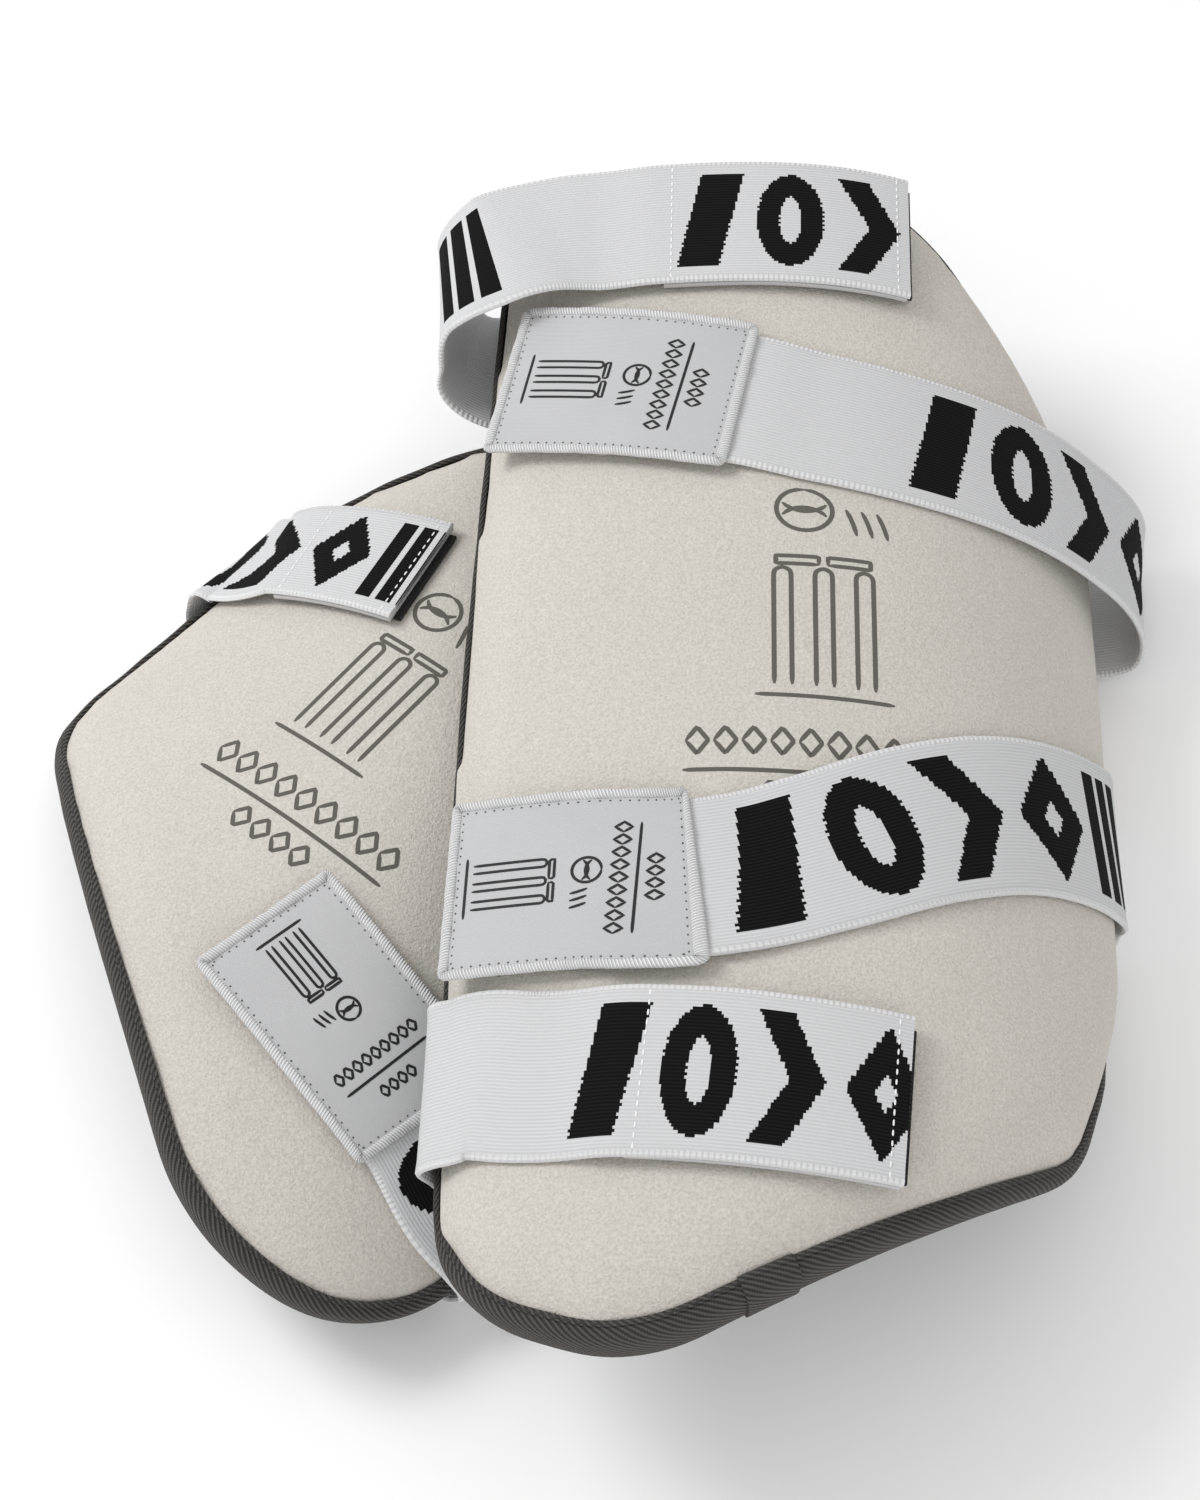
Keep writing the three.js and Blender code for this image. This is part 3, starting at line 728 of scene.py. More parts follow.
def thread_group():
    """Even threads or ribs, from 0 to 1, in mm. Shift times Lean is added to Place, to slant them."""
    inputs = {"Place": 0.0, "Shift": 0.0, "Lean": 0.0, "Pitch": 1.0}
    group, wires, leave = new_group("threads", inputs, ["Height"])
    turns = (wires["Place"] + wires["Shift"] * wires["Lean"]) / wires["Pitch"]
    height = (turns * (2 * math.pi)).sine() * 0.5 + 0.5
    group.links.new(height.socket, leave.inputs["Height"])
    return group


def dimple_group():
    """An even field of bumps and dimples, from 0 to 1, in mm."""
    inputs = {"Along": 0.0, "Across": 0.0, "Pitch": 1.0}
    group, wires, leave = new_group("dimples", inputs, ["Height"])
    along, across = ((wires[way] / wires["Pitch"] * (2 * math.pi)).sine() for way in ("Along", "Across"))
    height = (along * across + 1) * 0.5
    group.links.new(height.socket, leave.inputs["Height"])
    return group


def placed(tree, group, **values):
    """Places a group in a tree, with wires or numbers on its inputs; returns what it puts out."""
    call = tree.nodes.new("ShaderNodeGroup")
    call.node_tree = group
    for label, value in values.items():
        if isinstance(value, Wire):
            tree.links.new(value.socket, call.inputs[label])
        else:
            call.inputs[label].default_value = value
    return Wire(tree, call.outputs[0])


def new_material(name, colour, roughness, sheen=0.0):
    """A Principled material; returns it with its tree and shader."""
    look = bpy.data.materials.new(name)
    look.use_nodes = True
    tree = look.node_tree
    shader = tree.nodes["Principled BSDF"]
    shader.inputs["Base Color"].default_value = (*colour, 1)
    shader.inputs["Roughness"].default_value = roughness
    shader.inputs["Specular IOR Level"].default_value = 0.25
    shader.inputs["Sheen Weight"].default_value = sheen
    shader.inputs["Sheen Roughness"].default_value = 0.6
    return look, tree, shader


def uv_wires(tree, layer):
    node = tree.nodes.new("ShaderNodeUVMap")
    node.uv_map = layer
    split = tree.nodes.new("ShaderNodeSeparateXYZ")
    tree.links.new(node.outputs[0], split.inputs[0])
    return Wire(tree, split.outputs[0]), Wire(tree, split.outputs[1])


def blend_colours(tree, share, first, second):
    """Colour socket between two colours, or colour sockets, by share, a wire or a number."""
    mix = tree.nodes.new("ShaderNodeMix")
    mix.data_type = "RGBA"
    if isinstance(share, Wire):
        tree.links.new(share.socket, mix.inputs["Factor"])
    else:
        mix.inputs["Factor"].default_value = share
    for key, value in ((6, first), (7, second)):
        if isinstance(value, tuple):
            mix.inputs[key].default_value = (*value, 1)
        else:
            tree.links.new(value, mix.inputs[key])
    return mix.outputs[2]


def dress(tree, shader, colour, height, distance):
    """A colour, and bumps from a height of 0 to 1 that stand distance metres high."""
    tree.links.new(colour, shader.inputs["Base Color"])
    bump = tree.nodes.new("ShaderNodeBump")
    bump.inputs["Strength"].default_value = 1.0
    bump.inputs["Distance"].default_value = distance
    tree.links.new(height.socket, bump.inputs["Height"])
    tree.links.new(bump.outputs[0], shader.inputs["Normal"])


# ------------------------------------------------------------------ materials
def face_fabric(groups):
    """Cream brushed loop fabric, laminated to the foam."""
    look, tree, shader = new_material("face_fabric", (0.64, 0.60, 0.55), 0.95, 0.12)
    fine = placed(tree, groups["grain"], Scale=1250, Detail=3, Roughness=0.65)
    loops = placed(tree, groups["grain"], Scale=430)
    wide = placed(tree, groups["grain"], Scale=22, Detail=3)
    speck = ((fine - 0.5) * 3.2 + 0.5).most(0).least(1)
    tone = blend_colours(tree, wide, *FACE_TONES)
    grain = blend_colours(tree, speck, *FACE_GRAINS)
    dress(tree, shader, blend_colours(tree, 0.5, tone, grain), fine * 0.65 + loops * 0.35, 0.0008)
    return look


def lining_fabric(groups):
    """Dark knitted lining with small even dimples."""
    look, tree, shader = new_material("lining_fabric", (0.045, 0.046, 0.05), 0.9, 0.15)
    u, v = uv_wires(tree, "weave")
    rows = placed(tree, groups["dimples"], Along=u, Across=v, Pitch=2.4)
    rough = placed(tree, groups["grain"], Scale=700)
    dress(tree, shader, blend_colours(tree, rows, *LINING_TONES), rows + rough * 0.4, 0.0004)
    return look


def binding_twill(groups):
    """Charcoal tape with diagonal twill lines."""
    look, tree, shader = new_material("binding_twill", (0.045, 0.042, 0.038), 0.72, 0.04)
    u, v = uv_wires(tree, "weave")
    ribs = placed(tree, groups["threads"], Place=v, Shift=u, Lean=0.75, Pitch=1.7)
    threads = placed(tree, groups["threads"], Place=u * -1, Shift=v, Lean=0.4, Pitch=0.8)
    relief = ribs * 0.85 + threads * 0.15
    wear = placed(tree, groups["grain"], Scale=60, Detail=3)
    colour = blend_colours(tree, relief, *TWILL_TONES)
    dress(tree, shader, blend_colours(tree, wear * 0.25, colour, TWILL_WORN), relief, 0.0006)
    return look


def woven_elastic(groups):
    """Light grey elastic with lengthwise ribs and black woven motifs."""
    look, tree, shader = new_material("woven_elastic", (0.70, 0.70, 0.71), 0.85)
    shader.inputs["Specular IOR Level"].default_value = 0.08
    u, w = uv_wires(tree, "weave")
    along, across = uv_wires(tree, "motif")
    mask = placed(tree, groups["motifs"], Along=along, Across=across)
    ribs = placed(tree, groups["threads"], Place=w, Pitch=1.05)
    step = (w * (math.pi / 1.05)).floor()
    picks = placed(tree, groups["threads"], Place=u, Shift=step, Lean=0.45, Pitch=0.9)
    relief = ribs * 0.65 + picks * 0.35
    edge = across.abs().above(22.7)
    loops = edge * placed(tree, groups["threads"], Place=u, Pitch=1.4)
    cloud = placed(tree, groups["grain"], Scale=35)
    white = blend_colours(tree, relief, *ELASTIC_TONES)
    pale = blend_colours(tree, cloud * 0.5, white, ELASTIC_CLOUD)
    bound = blend_colours(tree, edge * 0.6, pale, SELVEDGE)
    colour = blend_colours(tree, mask, bound, blend_colours(tree, relief, *MOTIF_TONES))
    dress(tree, shader, colour, relief * 0.5 + mask * 0.8 + loops * 0.9, 0.00028)
    return look


def label_satin(groups):
    """Pale grey satin with a fine weave."""
    look, tree, shader = new_material("label_satin", (0.50, 0.50, 0.52), 0.42)
    shader.inputs["Specular IOR Level"].default_value = 0.35
    weave = placed(tree, groups["threads"], Place=uv_wires(tree, "weave")[1], Pitch=0.5)
    cloud = placed(tree, groups["grain"], Scale=40)
    ripple = placed(tree, groups["grain"], Scale=90)
    colour = blend_colours(tree, cloud * 0.6 + weave * 0.25, *SATIN_TONES)
    dress(tree, shader, colour, weave * 0.4 + ripple * 0.6, 0.00022)
    return look


def border_thread(groups):
    """White overlocked thread, wrapped round the edge of a label."""
    look, tree, shader = new_material("border_thread", (0.80, 0.80, 0.81), 0.6, 0.1)
    u, v = uv_wires(tree, "weave")
    wraps = placed(tree, groups["threads"], Place=u, Shift=v, Lean=0.3, Pitch=0.85)
    dress(tree, shader, blend_colours(tree, wraps, *BORDER_TONES), wraps, 0.0004)
    return look


def hook_tape(groups):
    """Black hook tape, a dense field of tiny stiff hooks."""
    look, tree, shader = new_material("hook_tape", (0.012, 0.012, 0.013), 0.6)
    u, w = uv_wires(tree, "weave")
    hooks = placed(tree, groups["dimples"], Along=u, Across=w, Pitch=1.3)
    dress(tree, shader, blend_colours(tree, hooks, *HOOK_TONES), hooks, 0.0007)
    return look


def make_materials():
    groups = {
        "motifs": motif_group(),
        "grain": grain_group(),
        "threads": thread_group(),
        "dimples": dimple_group(),
    }
    looks = {
        "face": face_fabric(groups),
        "lining": lining_fabric(groups),
        "twill": binding_twill(groups),
        "elastic": woven_elastic(groups),
        "satin": label_satin(groups),
        "border": border_thread(groups),
        "hook": hook_tape(groups),
    }
    for name, (colour, roughness) in PLAIN_LOOKS.items():
        looks[name] = new_material(name, colour, roughness, 0.1)[0]
    return looks


# ------------------------------------------------------------------ one guard
def face_height(guard, depth):
    """Height of the padded face at a distance in from the outline, before straps press on it."""
    top = guard["thickness"] / 2 + guard["crown"]
    rim = guard["rim"][1]
    run = np.clip((depth - BINDING_REACH) / FACE_RUN, 0, 1)
    start = rim + RIM_LIFT * np.clip(depth / BINDING_REACH, 0, 1)
    return start + (top - rim - RIM_LIFT) * (1 - (1 - run) ** 2.3)


def back_height(guard, depth):
    low = guard["rim"][0]
    flat = -guard["thickness"] / 2 - 0.2
    run = np.clip((depth - BINDING_REACH) / BACK_RUN, 0, 1)
    return low + (flat - low) * (1 - (1 - run) ** 2)


class Press:
    """How high a guard's face may stand, and how low its back, beside the straps that cross it."""

    def __init__(self, ribbons):
        self.runs = []
        for ribbon in ribbons:
            u = np.arange(0, ribbon.length, 3.0)
            spot = ribbon.knot_place(u)
            plies = np.zeros(len(u))
            plies[u < ribbon.strap["tab"] + 6] = HOOK_THICK + PLY_GAP
            plies[u > ribbon.length - ribbon.strap["tail"] - 6] = HOOK_THICK + BACKING + 2 * PLY_GAP
            self.runs.append((ribbon.strap["width"] / 2, spot, plies))

    def limit(self, s, t, face):
        """Greatest distance from the mid-surface at each point, on the face or on the back."""
        limit = np.full(len(s), 1e9)
        for half_width, spot, plies in self.runs:
            on_side = spot[:, 2] > 6 if face else spot[:, 2] < -6
            line = spot[on_side]
            under = plies[on_side]
            away = np.linalg.norm(line[None, :, :2] - np.stack([s, t], -1)[:, None], axis=2)
            near = away.argmin(1)
            beyond = away.min(1) - half_width
            height = np.abs(line[near, 2]) - under[near] - PRESS_ROOM
            free = 3.2 * smoothstep(beyond, 0.0, 20.0) + 40 * smoothstep(beyond, 18.0, 40.0)
            limit = np.minimum(limit, height + free)
        return limit


def pad_form(guard, sheet, outline):
    """Closed body of the pad, with an even mesh, still with flat sides."""
    inner = outline + inward(outline) * WALL
    left, right = inner[:, 0].min(), inner[:, 0].max()
    near = np.array([0.15, 0.8, 2, 4, 7])
    count = int((right - left - 14) / 4)
    between = np.linspace(left + near[-1], right - near[-1], count + 1)[1:-1]
    lines = np.concatenate([left + near, between, right - near[::-1]])
    spans = span(inner, lines)
    share = (1 - np.cos(np.linspace(0, math.pi, 60))) / 2
    share = 0.35 * share + 0.65 * np.linspace(0, 1, 60)
    rings = []
    for s, (low, high) in zip(lines, spans):
        t = low + (high - low) * share
        depth = depth_inside(outline, np.full(len(t), s), t)
        top = sheet.point(s, t, face_height(guard, depth) - 0.4)
        bottom = sheet.point(s, t[::-1], back_height(guard, depth)[::-1] + 0.4)
        rings.append(np.vstack([top, bottom]))
    rings = np.array(rings)
    points, faces, _ = sweep(rings)
    return points, turned_out(points, faces, -2)


def inflate(obj, held):
    """Swells a closed mesh like stuffed fabric, but for the points held; returns its points, in metres."""
    scene = bpy.context.scene
    group = obj.vertex_groups.new(name="held")
    group.add(held, 1.0, "REPLACE")
    cloth = obj.modifiers.new("cloth", "CLOTH")
    for key, value in CLOTH.items():
        setattr(cloth.settings, key, value)
    cloth.settings.vertex_group_mass = "held"
    cloth.settings.effector_weights.gravity = 0
    cloth.point_cache.frame_start = 1
    cloth.point_cache.frame_end = CLOTH_FRAMES
    for frame in range(1, CLOTH_FRAMES + 1):
        scene.frame_set(frame)
    shown = obj.evaluated_get(bpy.context.evaluated_depsgraph_get())
    moved = coordinates(shown.data)
    obj.modifiers.remove(cloth)
    obj.vertex_groups.clear()
    scene.frame_set(1)
    return moved


def coordinates(mesh):
    values = np.empty(len(mesh.vertices) * 3)
    mesh.vertices.foreach_get("co", values)
    return values.reshape(-1, 3)


def apply_modifier(obj, kind, **settings):
    modifier = obj.modifiers.new(kind.lower(), kind)
    for key, value in settings.items():
        setattr(modifier, key, value)
    shown = obj.evaluated_get(bpy.context.evaluated_depsgraph_get())
    mesh = bpy.data.meshes.new_from_object(shown)
    obj.modifiers.remove(modifier)
    old = obj.data
    obj.data = mesh
    bpy.data.meshes.remove(old)


def pad_object(guard, sheet, outline, press, look):
    """The foam pad under its cream cover: crowned, pressed in under the straps, soft between them."""
    points, faces = pad_form(guard, sheet, outline)
    pad = new_object(f"{guard['name']}_pad", points, faces, look)
    apply_modifier(pad, "REMESH", mode="VOXEL", voxel_size=VOXEL * MM)
    start = coordinates(pad.data)
    s, t, h = sheet.pattern(start / MM)
    depth = depth_inside(outline, s, t)
    softness = np.zeros(len(s))
    held = np.nonzero(depth < BINDING_REACH + 4)[0].tolist()
    moved = inflate(pad, held) - start
    softness = (moved / MM * sheet.normal(s)).sum(1)
    is_face = h > 0.5 * sum(guard["rim"])
    # what the swelling adds is unevenness, within a small cap
    face_part = is_face & (depth > BINDING_REACH + 6)
    swell = np.zeros(len(s))
    if face_part.any():
        typical = np.median(softness[face_part])
        swell = np.clip(softness - typical, -SWELL_CAP, SWELL_CAP) * smoothstep(depth, BINDING_REACH + 2, 30)
    ripple = 0.35 * np.sin(s / 31 + 0.6) * np.sin(t / 43 + 1.1) + 0.18 * np.sin(s / 13 + t / 17)
    top = face_height(guard, depth) + (0.5 * swell + ripple) * smoothstep(depth, 8, 30)
    top = np.minimum(top, press.limit(s, t, True))
    low = back_height(guard, depth) + 1.7
    target = np.where(is_face, top, low)
    inside = depth > WALL + 1.6
    rate = smoothstep(depth, WALL + 1.0, WALL + 3.5)
    h = h + (target - h) * np.where(inside, rate, 0)
    pad.data.vertices.foreach_set("co", (sheet.point(s, t, h) * MM).ravel())
    pad.data.update()
    apply_modifier(pad, "SUBSURF", levels=1, render_levels=1)
    pad.data.shade_smooth()
    return pad


def lining_object(guard, sheet, outline, press, look):
    """The dark lining as a thin closed shell over the back."""
    inner = outline + inward(outline) * 1.6
    left, right = inner[:, 0].min(), inner[:, 0].max()
    lines = np.linspace(left + 0.3, right - 0.3, int((right - left) / 4))
    spans = span(inner, lines)
    share = np.linspace(0, 1, 70)
    rings = []
    ring_uv = []
    for s, (low, high) in zip(lines, spans):
        t = low + (high - low) * share
        depth = depth_inside(outline, np.full(len(t), s), t)
        drop = back_height(guard, depth)
        drop = np.maximum(drop, -press.limit(np.full(len(t), s), t, False))
        rings.append(np.vstack([sheet.point(s, t, drop), sheet.point(s, t[::-1], drop[::-1] + LINING_THICK)]))
        both = np.concatenate([t, t[::-1], t[:1]])
        ring_uv.append(np.stack([np.full(len(both), s), both], -1))
    return swept_object(f"{guard['name']}_lining", np.array(rings), look, np.array(ring_uv))


def flange_share(guard, ways):
    """Share of its full width that the binding's flange has, for each inward direction."""
    turn = math.radians(guard["yaw"])
    outward_y = -(ways[:, 0] * math.sin(turn) + ways[:, 1] * math.cos(turn))
    start, end, least = guard["narrow"]
    return 1 - (1 - least) * smoothstep(outward_y, start, end)


def binding_rings(guard, sheet, outline, extra=0.0, reach=BINDING_REACH, wall=0.0):
    """Rings of the folded tape round the edge: a soft closed channel, thicker by extra."""
    low, high = guard["rim"]
    low -= 1.0
    high += 1.0
    middle = (low + high) / 2
    half = (high - low) / 2
    bulge = np.radians(np.linspace(-90, 90, 13))
    outer = [(reach, low - 0.15 - extra), (reach * 0.6, low - 0.25 - extra)]
    for angle in bulge:
        d = 2.6 - wall - (2.6 + PROUD + extra) * math.cos(angle) ** 0.7
        outer.append((d, middle + (half + extra) * np.sign(math.sin(angle)) * abs(math.sin(angle)) ** 0.8))
    outer += [(reach * 0.6, high + 0.45 + extra), (reach * 0.85, high + 0.4 + extra), (reach, high + 0.1)]
    inner = [
        (reach + 0.1, high - 0.8),
        (reach * 0.5, high - 0.9),
        (WALL + 0.6, high - 1.1),
        (WALL + 0.2, middle),
        (WALL + 0.6, low + 1.1),
        (reach * 0.5, low + 0.9),
        (reach + 0.1, low + 0.8),
    ]
    shape = np.array(outer + inner)
    ways = inward(outline)
    around = travelled(closed_up(shape))
    along = travelled(closed_up(outline))
    rings = []
    over_middle = np.clip((shape[:, 1] - middle) / (high - middle), 0, 1)
    for point, way, share in zip(outline, ways, flange_share(guard, ways)):
        narrowed = (1 - share) / (1 - guard["narrow"][2])
        spot = point + np.where(shape[:, :1] > 0, share, 1 - 0.8 * narrowed) * shape[:, :1] * way
        height = shape[:, 1] - guard["tuck"] * narrowed * over_middle
        rings.append(sheet.point(spot[:, 0], spot[:, 1], height))
    return np.array(rings), pairs(along, around)


def ease_outline(outline, reach):
    """Outline points with their tight spots relaxed, so a wide flange doesn't fold there."""
    for _ in range(reach):
        outline = (np.roll(outline, 1, 0) + 2 * outline + np.roll(outline, -1, 0)) / 4
    return outline


def binding_objects(guard, sheet, outline, looks):
    """The twill tape, its stitches and the lapped end of the tape."""
    smooth = ease_outline(outline, 6)
    rings, ring_uv = binding_rings(guard, sheet, smooth)
    # hand-sewn unevenness: the flange's height drifts a little along the edge
    count = len(rings)
    phase = np.arange(count) * 2 * math.pi / count
    drift = 0.16 * np.sin(phase * 17) + 0.12 * np.sin(phase * 41 + 1)
    rings = rings + (drift[:, None] * sheet.normal(smooth[:, 0]))[:, None, :]
    tape = swept_object(f"{guard['name']}_binding", rings, looks["twill"], ring_uv, closed=True)

    # running stitch close to the flange's inner edge
    ways = inward(smooth)
    line = smooth + ways * (BINDING_REACH * flange_share(guard, ways) - 1.1)[:, None]
    closed = closed_up(line)
    length = travelled(closed)
    stitch, pause, radius = BINDING_STITCH
    threads = []
    height = guard["rim"][1] + 1.42
    share = flange_share(guard, ways)
    for begin in np.arange(0, length[-1] - stitch, stitch + pause):
        if np.interp(begin, length[:-1], share) < 0.8:
            continue  # the pile covers them there
        s_ends, t_ends = row_at([begin, begin + stitch], length, closed).T
        start, end = sheet.point(s_ends, t_ends, height)
        threads.append((start, end, sheet.normal(s_ends[0])))
    stitches = capsules(f"{guard['name']}_binding_stitches", threads, radius, looks["dark_thread"])

    # the tape's end laps over its start
    lap_s, lap_side = guard["lap"]
    gap_to_lap = np.abs(smooth[:, 0] - lap_s) + np.where(np.sign(smooth[:, 1]) == lap_side, 0, 1e3)
    middle = int(gap_to_lap.argmin())
    chosen = [(middle + k) % count for k in range(-3, 4)]
    lap_all, lap_uv = binding_rings(guard, sheet, smooth, extra=0.8, reach=BINDING_REACH + 0.6)
    lap = swept_object(
        f"{guard['name']}_binding_lap", lap_all[chosen], looks["twill"], lap_uv[chosen], sharp=40
    )
    return tape, stitches, lap


# ------------------------------------------------------------------ straps
def motif_runs(strap, length):
    """Start, end, first motif and pitch of each woven stretch."""
    for start, count, first, pitch in strap["motifs"]:
        begin = start if start >= 0 else length + start
        yield begin, min(begin + count * pitch, length), first, pitch


def motif_places(strap, length, u):
    """Motif count at each length along the strap, negative where the band is plain."""
    value = np.full(len(u), -1.0)
    for begin, end, first, pitch in motif_runs(strap, length):
        inside = (u >= begin) & (u <= end)
        value[inside] = 5 + first + (u[inside] - begin) / pitch
    return value


def band_object(name, ribbon, u0, u1, look, thick=BAND_THICK, base=0.0):
    """A length of woven band with rolled edges."""
    strap = ribbon.strap
    half = strap["width"] / 2
    breaks = {u0, u1}
    for begin, end, _, _ in motif_runs(strap, ribbon.length):
        for edge in (begin, end):
            if u0 < edge < u1:
                breaks.update((edge - 0.001, edge + 0.001))
    even = np.linspace(u0, u1, max(3, int((u1 - u0) / 2)))
    clear = {v for v in even if min(abs(v - b) for b in breaks) > 0.4}
    stops = np.array(sorted(breaks | clear))
    across = np.linspace(-1, 1, 15) * (half - 0.8)
    lip = 0.22  # the selvedge stands a little proud
    top = [(w, thick + lip * smoothstep(abs(w), half - 3.4, half - 1.6)) for w in across]
    right_edge = [(half - 0.25, thick * 0.8), (half, thick * 0.5), (half - 0.25, thick * 0.2)]
    bottom = [(w, 0.0) for w in across[::-1]]
    left_edge = [(-w, d) for w, d in right_edge[::-1]]
    shape = np.array(top + right_edge + bottom + left_edge)
    sway = 0.22 * np.sin(stops / 23 + half) + 0.12 * np.sin(stops / 7.3)
    rings = ribbon.at(stops[:, None], shape[None, :, 0] + sway[:, None], shape[None, :, 1] + base)
    w = closed_up(shape)[:, 0]
    place = np.repeat(motif_places(strap, ribbon.length, stops)[:, None], len(w), 1)
    place[:, len(top) + len(right_edge) - 1:-1] = -1.0  # the motifs don't show on the reverse
    layers = [pairs(stops, w), pairs(place, w * MOTIF_BAND / strap["width"])]
    return swept_object(name, rings, look, layers, layers=("weave", "motif"), sharp=50)


def slab_object(name, ribbon, u0, u1, half, base, thick, look, steps=2.0):
    """A flat patch on a ribbon, with softened edges."""
    stops = np.linspace(u0, u1, max(3, int((u1 - u0) / steps)))
    across = np.linspace(-1, 1, 13) * (half - 0.3)
    top = [(w, base + thick) for w in across]
    bottom = [(w, base) for w in across[::-1]]
    shape = np.array(top + [(half, base + thick / 2)] + bottom + [(-half, base + thick / 2)])
    rings = ribbon.at(stops[:, None], shape[None, :, 0], shape[None, :, 1])
    return swept_object(name, rings, look, pairs(stops, closed_up(shape)[:, 0]), sharp=50)


def frame_path(u0, u1, half, radius=2.2, step=1.5):
    """Closed rectangle with small rounded corners in (u, w), with its directions inward."""
    corners = [(u0, -half, radius), (u1, -half, radius), (u1, half, radius), (u0, half, radius)]
    path = rounded_outline(corners, step)
    return path, inward(path)


def border_object(name, ribbon, u1, half, look):
    """The overlocked edge of a label: a rounded rope of thread all round."""
    path, ways = frame_path(0, u1, half)
    base = BAND_THICK + PLY_GAP - 0.35
    angles = np.radians(np.linspace(0, 360, 14, endpoint=False))
    wide = BORDER_WIDE / 2
    shape = np.array([
        (wide - wide * math.cos(a), base + (BORDER_THICK + 0.35) * (0.5 + 0.5 * math.sin(a))) for a in angles
    ])
    around = travelled(closed_up(shape))
    along = travelled(closed_up(path))
    spots = path[:, None, :] + shape[None, :, :1] * ways[:, None, :]
    wobble = 1 + 0.05 * np.sin(along[:-1] / 2.1) + 0.04 * np.sin(along[:-1] / 0.9)
    rings = ribbon.at(spots[..., 0], spots[..., 1], shape[None, :, 1] * wobble[:, None])
    return swept_object(name, rings, look, pairs(along, around), closed=True)


def stitches_on_ribbon(name, ribbon, paths, depth, look, kind):
    """Running stitches of one kind along open lines in (u, w)."""
    stitch, pause, radius = kind
    threads = []
    for path in paths:
        path = np.asarray(path, float)
        length = travelled(path)
        for begin in np.arange(0.3, length[-1] - stitch, stitch + pause):
            u, w = row_at([begin, begin + stitch], length, path).T
            w = w + RNG.uniform(-STITCH_DRIFT, STITCH_DRIFT, 2)
            ends = ribbon.at(u, w, depth)
            up = ribbon.at(u[:1], w[:1], depth + 1)[0] - ends[0]
            threads.append((ends[0], ends[1], up))
    return capsules(name, threads, radius, look)


def strokes(name, lines, place, width, thick, look, step=0.8):
    """Drawn lines as thin raised strips. place(a, b, k) gives points k over the surface at (a, b)."""
    points = []
    faces = []
    for line in lines:
        line = np.asarray(line, float)
        length = travelled(line)
        even = np.linspace(0, length[-1], max(3, int(length[-1] / step)))
        path = row_at(even, length, line)
        way = np.gradient(path, axis=0)
        way /= np.linalg.norm(way, axis=1)[:, None]
        left = np.stack([-way[:, 1], way[:, 0]], -1)
        taper = np.minimum(1, 0.45 + np.minimum(even, length[-1] - even) / (2.5 * width))
        offset = left * (width / 2 * taper)[:, None]
        rings = np.stack([
            place(*(path + offset).T, thick),
            place(*(path - offset).T, thick),
            place(*(path - offset).T, -0.25),
            place(*(path + offset).T, -0.25),
        ], 1)
        own_points, own_faces, _ = sweep(rings)
        own_faces = turned_out(own_points, own_faces)
        faces += [tuple(k + len(points) for k in face) for face in own_faces]
        points += list(own_points)
    return new_object(name, np.array(points), faces, look, sharp=30)


def arc(centre, radius, start, end, count=14, squash=1.0):
    """Points of an arc, angles in degrees."""
    angles = np.radians(np.linspace(start, end, count))
    return [(centre[0] + radius * math.cos(a), centre[1] + squash * radius * math.sin(a)) for a in angles]


def wicket_drawing():
    """Line drawing of three stumps with bails and a flying ball, about 60 long and 30 wide."""
    lines = []
    for y in (-9.0, 0.0, 9.0):
        lines.append([(0, y - 1.9), (31, y - 1.9), *arc((31, y), 1.9, -90, 90, 7), (0, y + 1.9)])
    for side in (-1, 1):
        near, far = 1 * side, 10.4 * side
        lines.append([(34, near), (34, far), (36.2, far), (36.2, near), (34, near)])
    ball = (50, 4)
    lines.append(arc(ball, 6.2, 0, 360, 40))
    lines.append(arc((44.4, 4), 6.2, -52, 52, 12))
    lines.append(arc((55.6, 4), 6.2, 128, 232, 12))
    for offset in (-9.5, -13, -6):
        lines.append(arc((38, offset + 30), 32, -80, -66, 8))
    lines.append([(-3, -15), (-3, 15)])
    return lines


def turned(lines, scale=1.0, angle=0.0, move=(0, 0)):
    """Lines scaled, turned by degrees and moved."""
    c, d = math.cos(math.radians(angle)), math.sin(math.radians(angle))
    return [
        [(move[0] + scale * (c * x - d * y), move[1] + scale * (d * x + c * y)) for x, y in line]
        for line in lines
    ]


def diamond_row(length, height, count):
    """A row of small outlined diamonds, about as dense as small print."""
    lines = []
    pitch = length / count
    for k in range(count):
        x = (k + 0.5) * pitch - length / 2
        half = pitch * 0.4
        lines.append([(x - half, 0), (x, height / 2), (x + half, 0), (x, -height / 2), (x - half, 0)])
    return lines


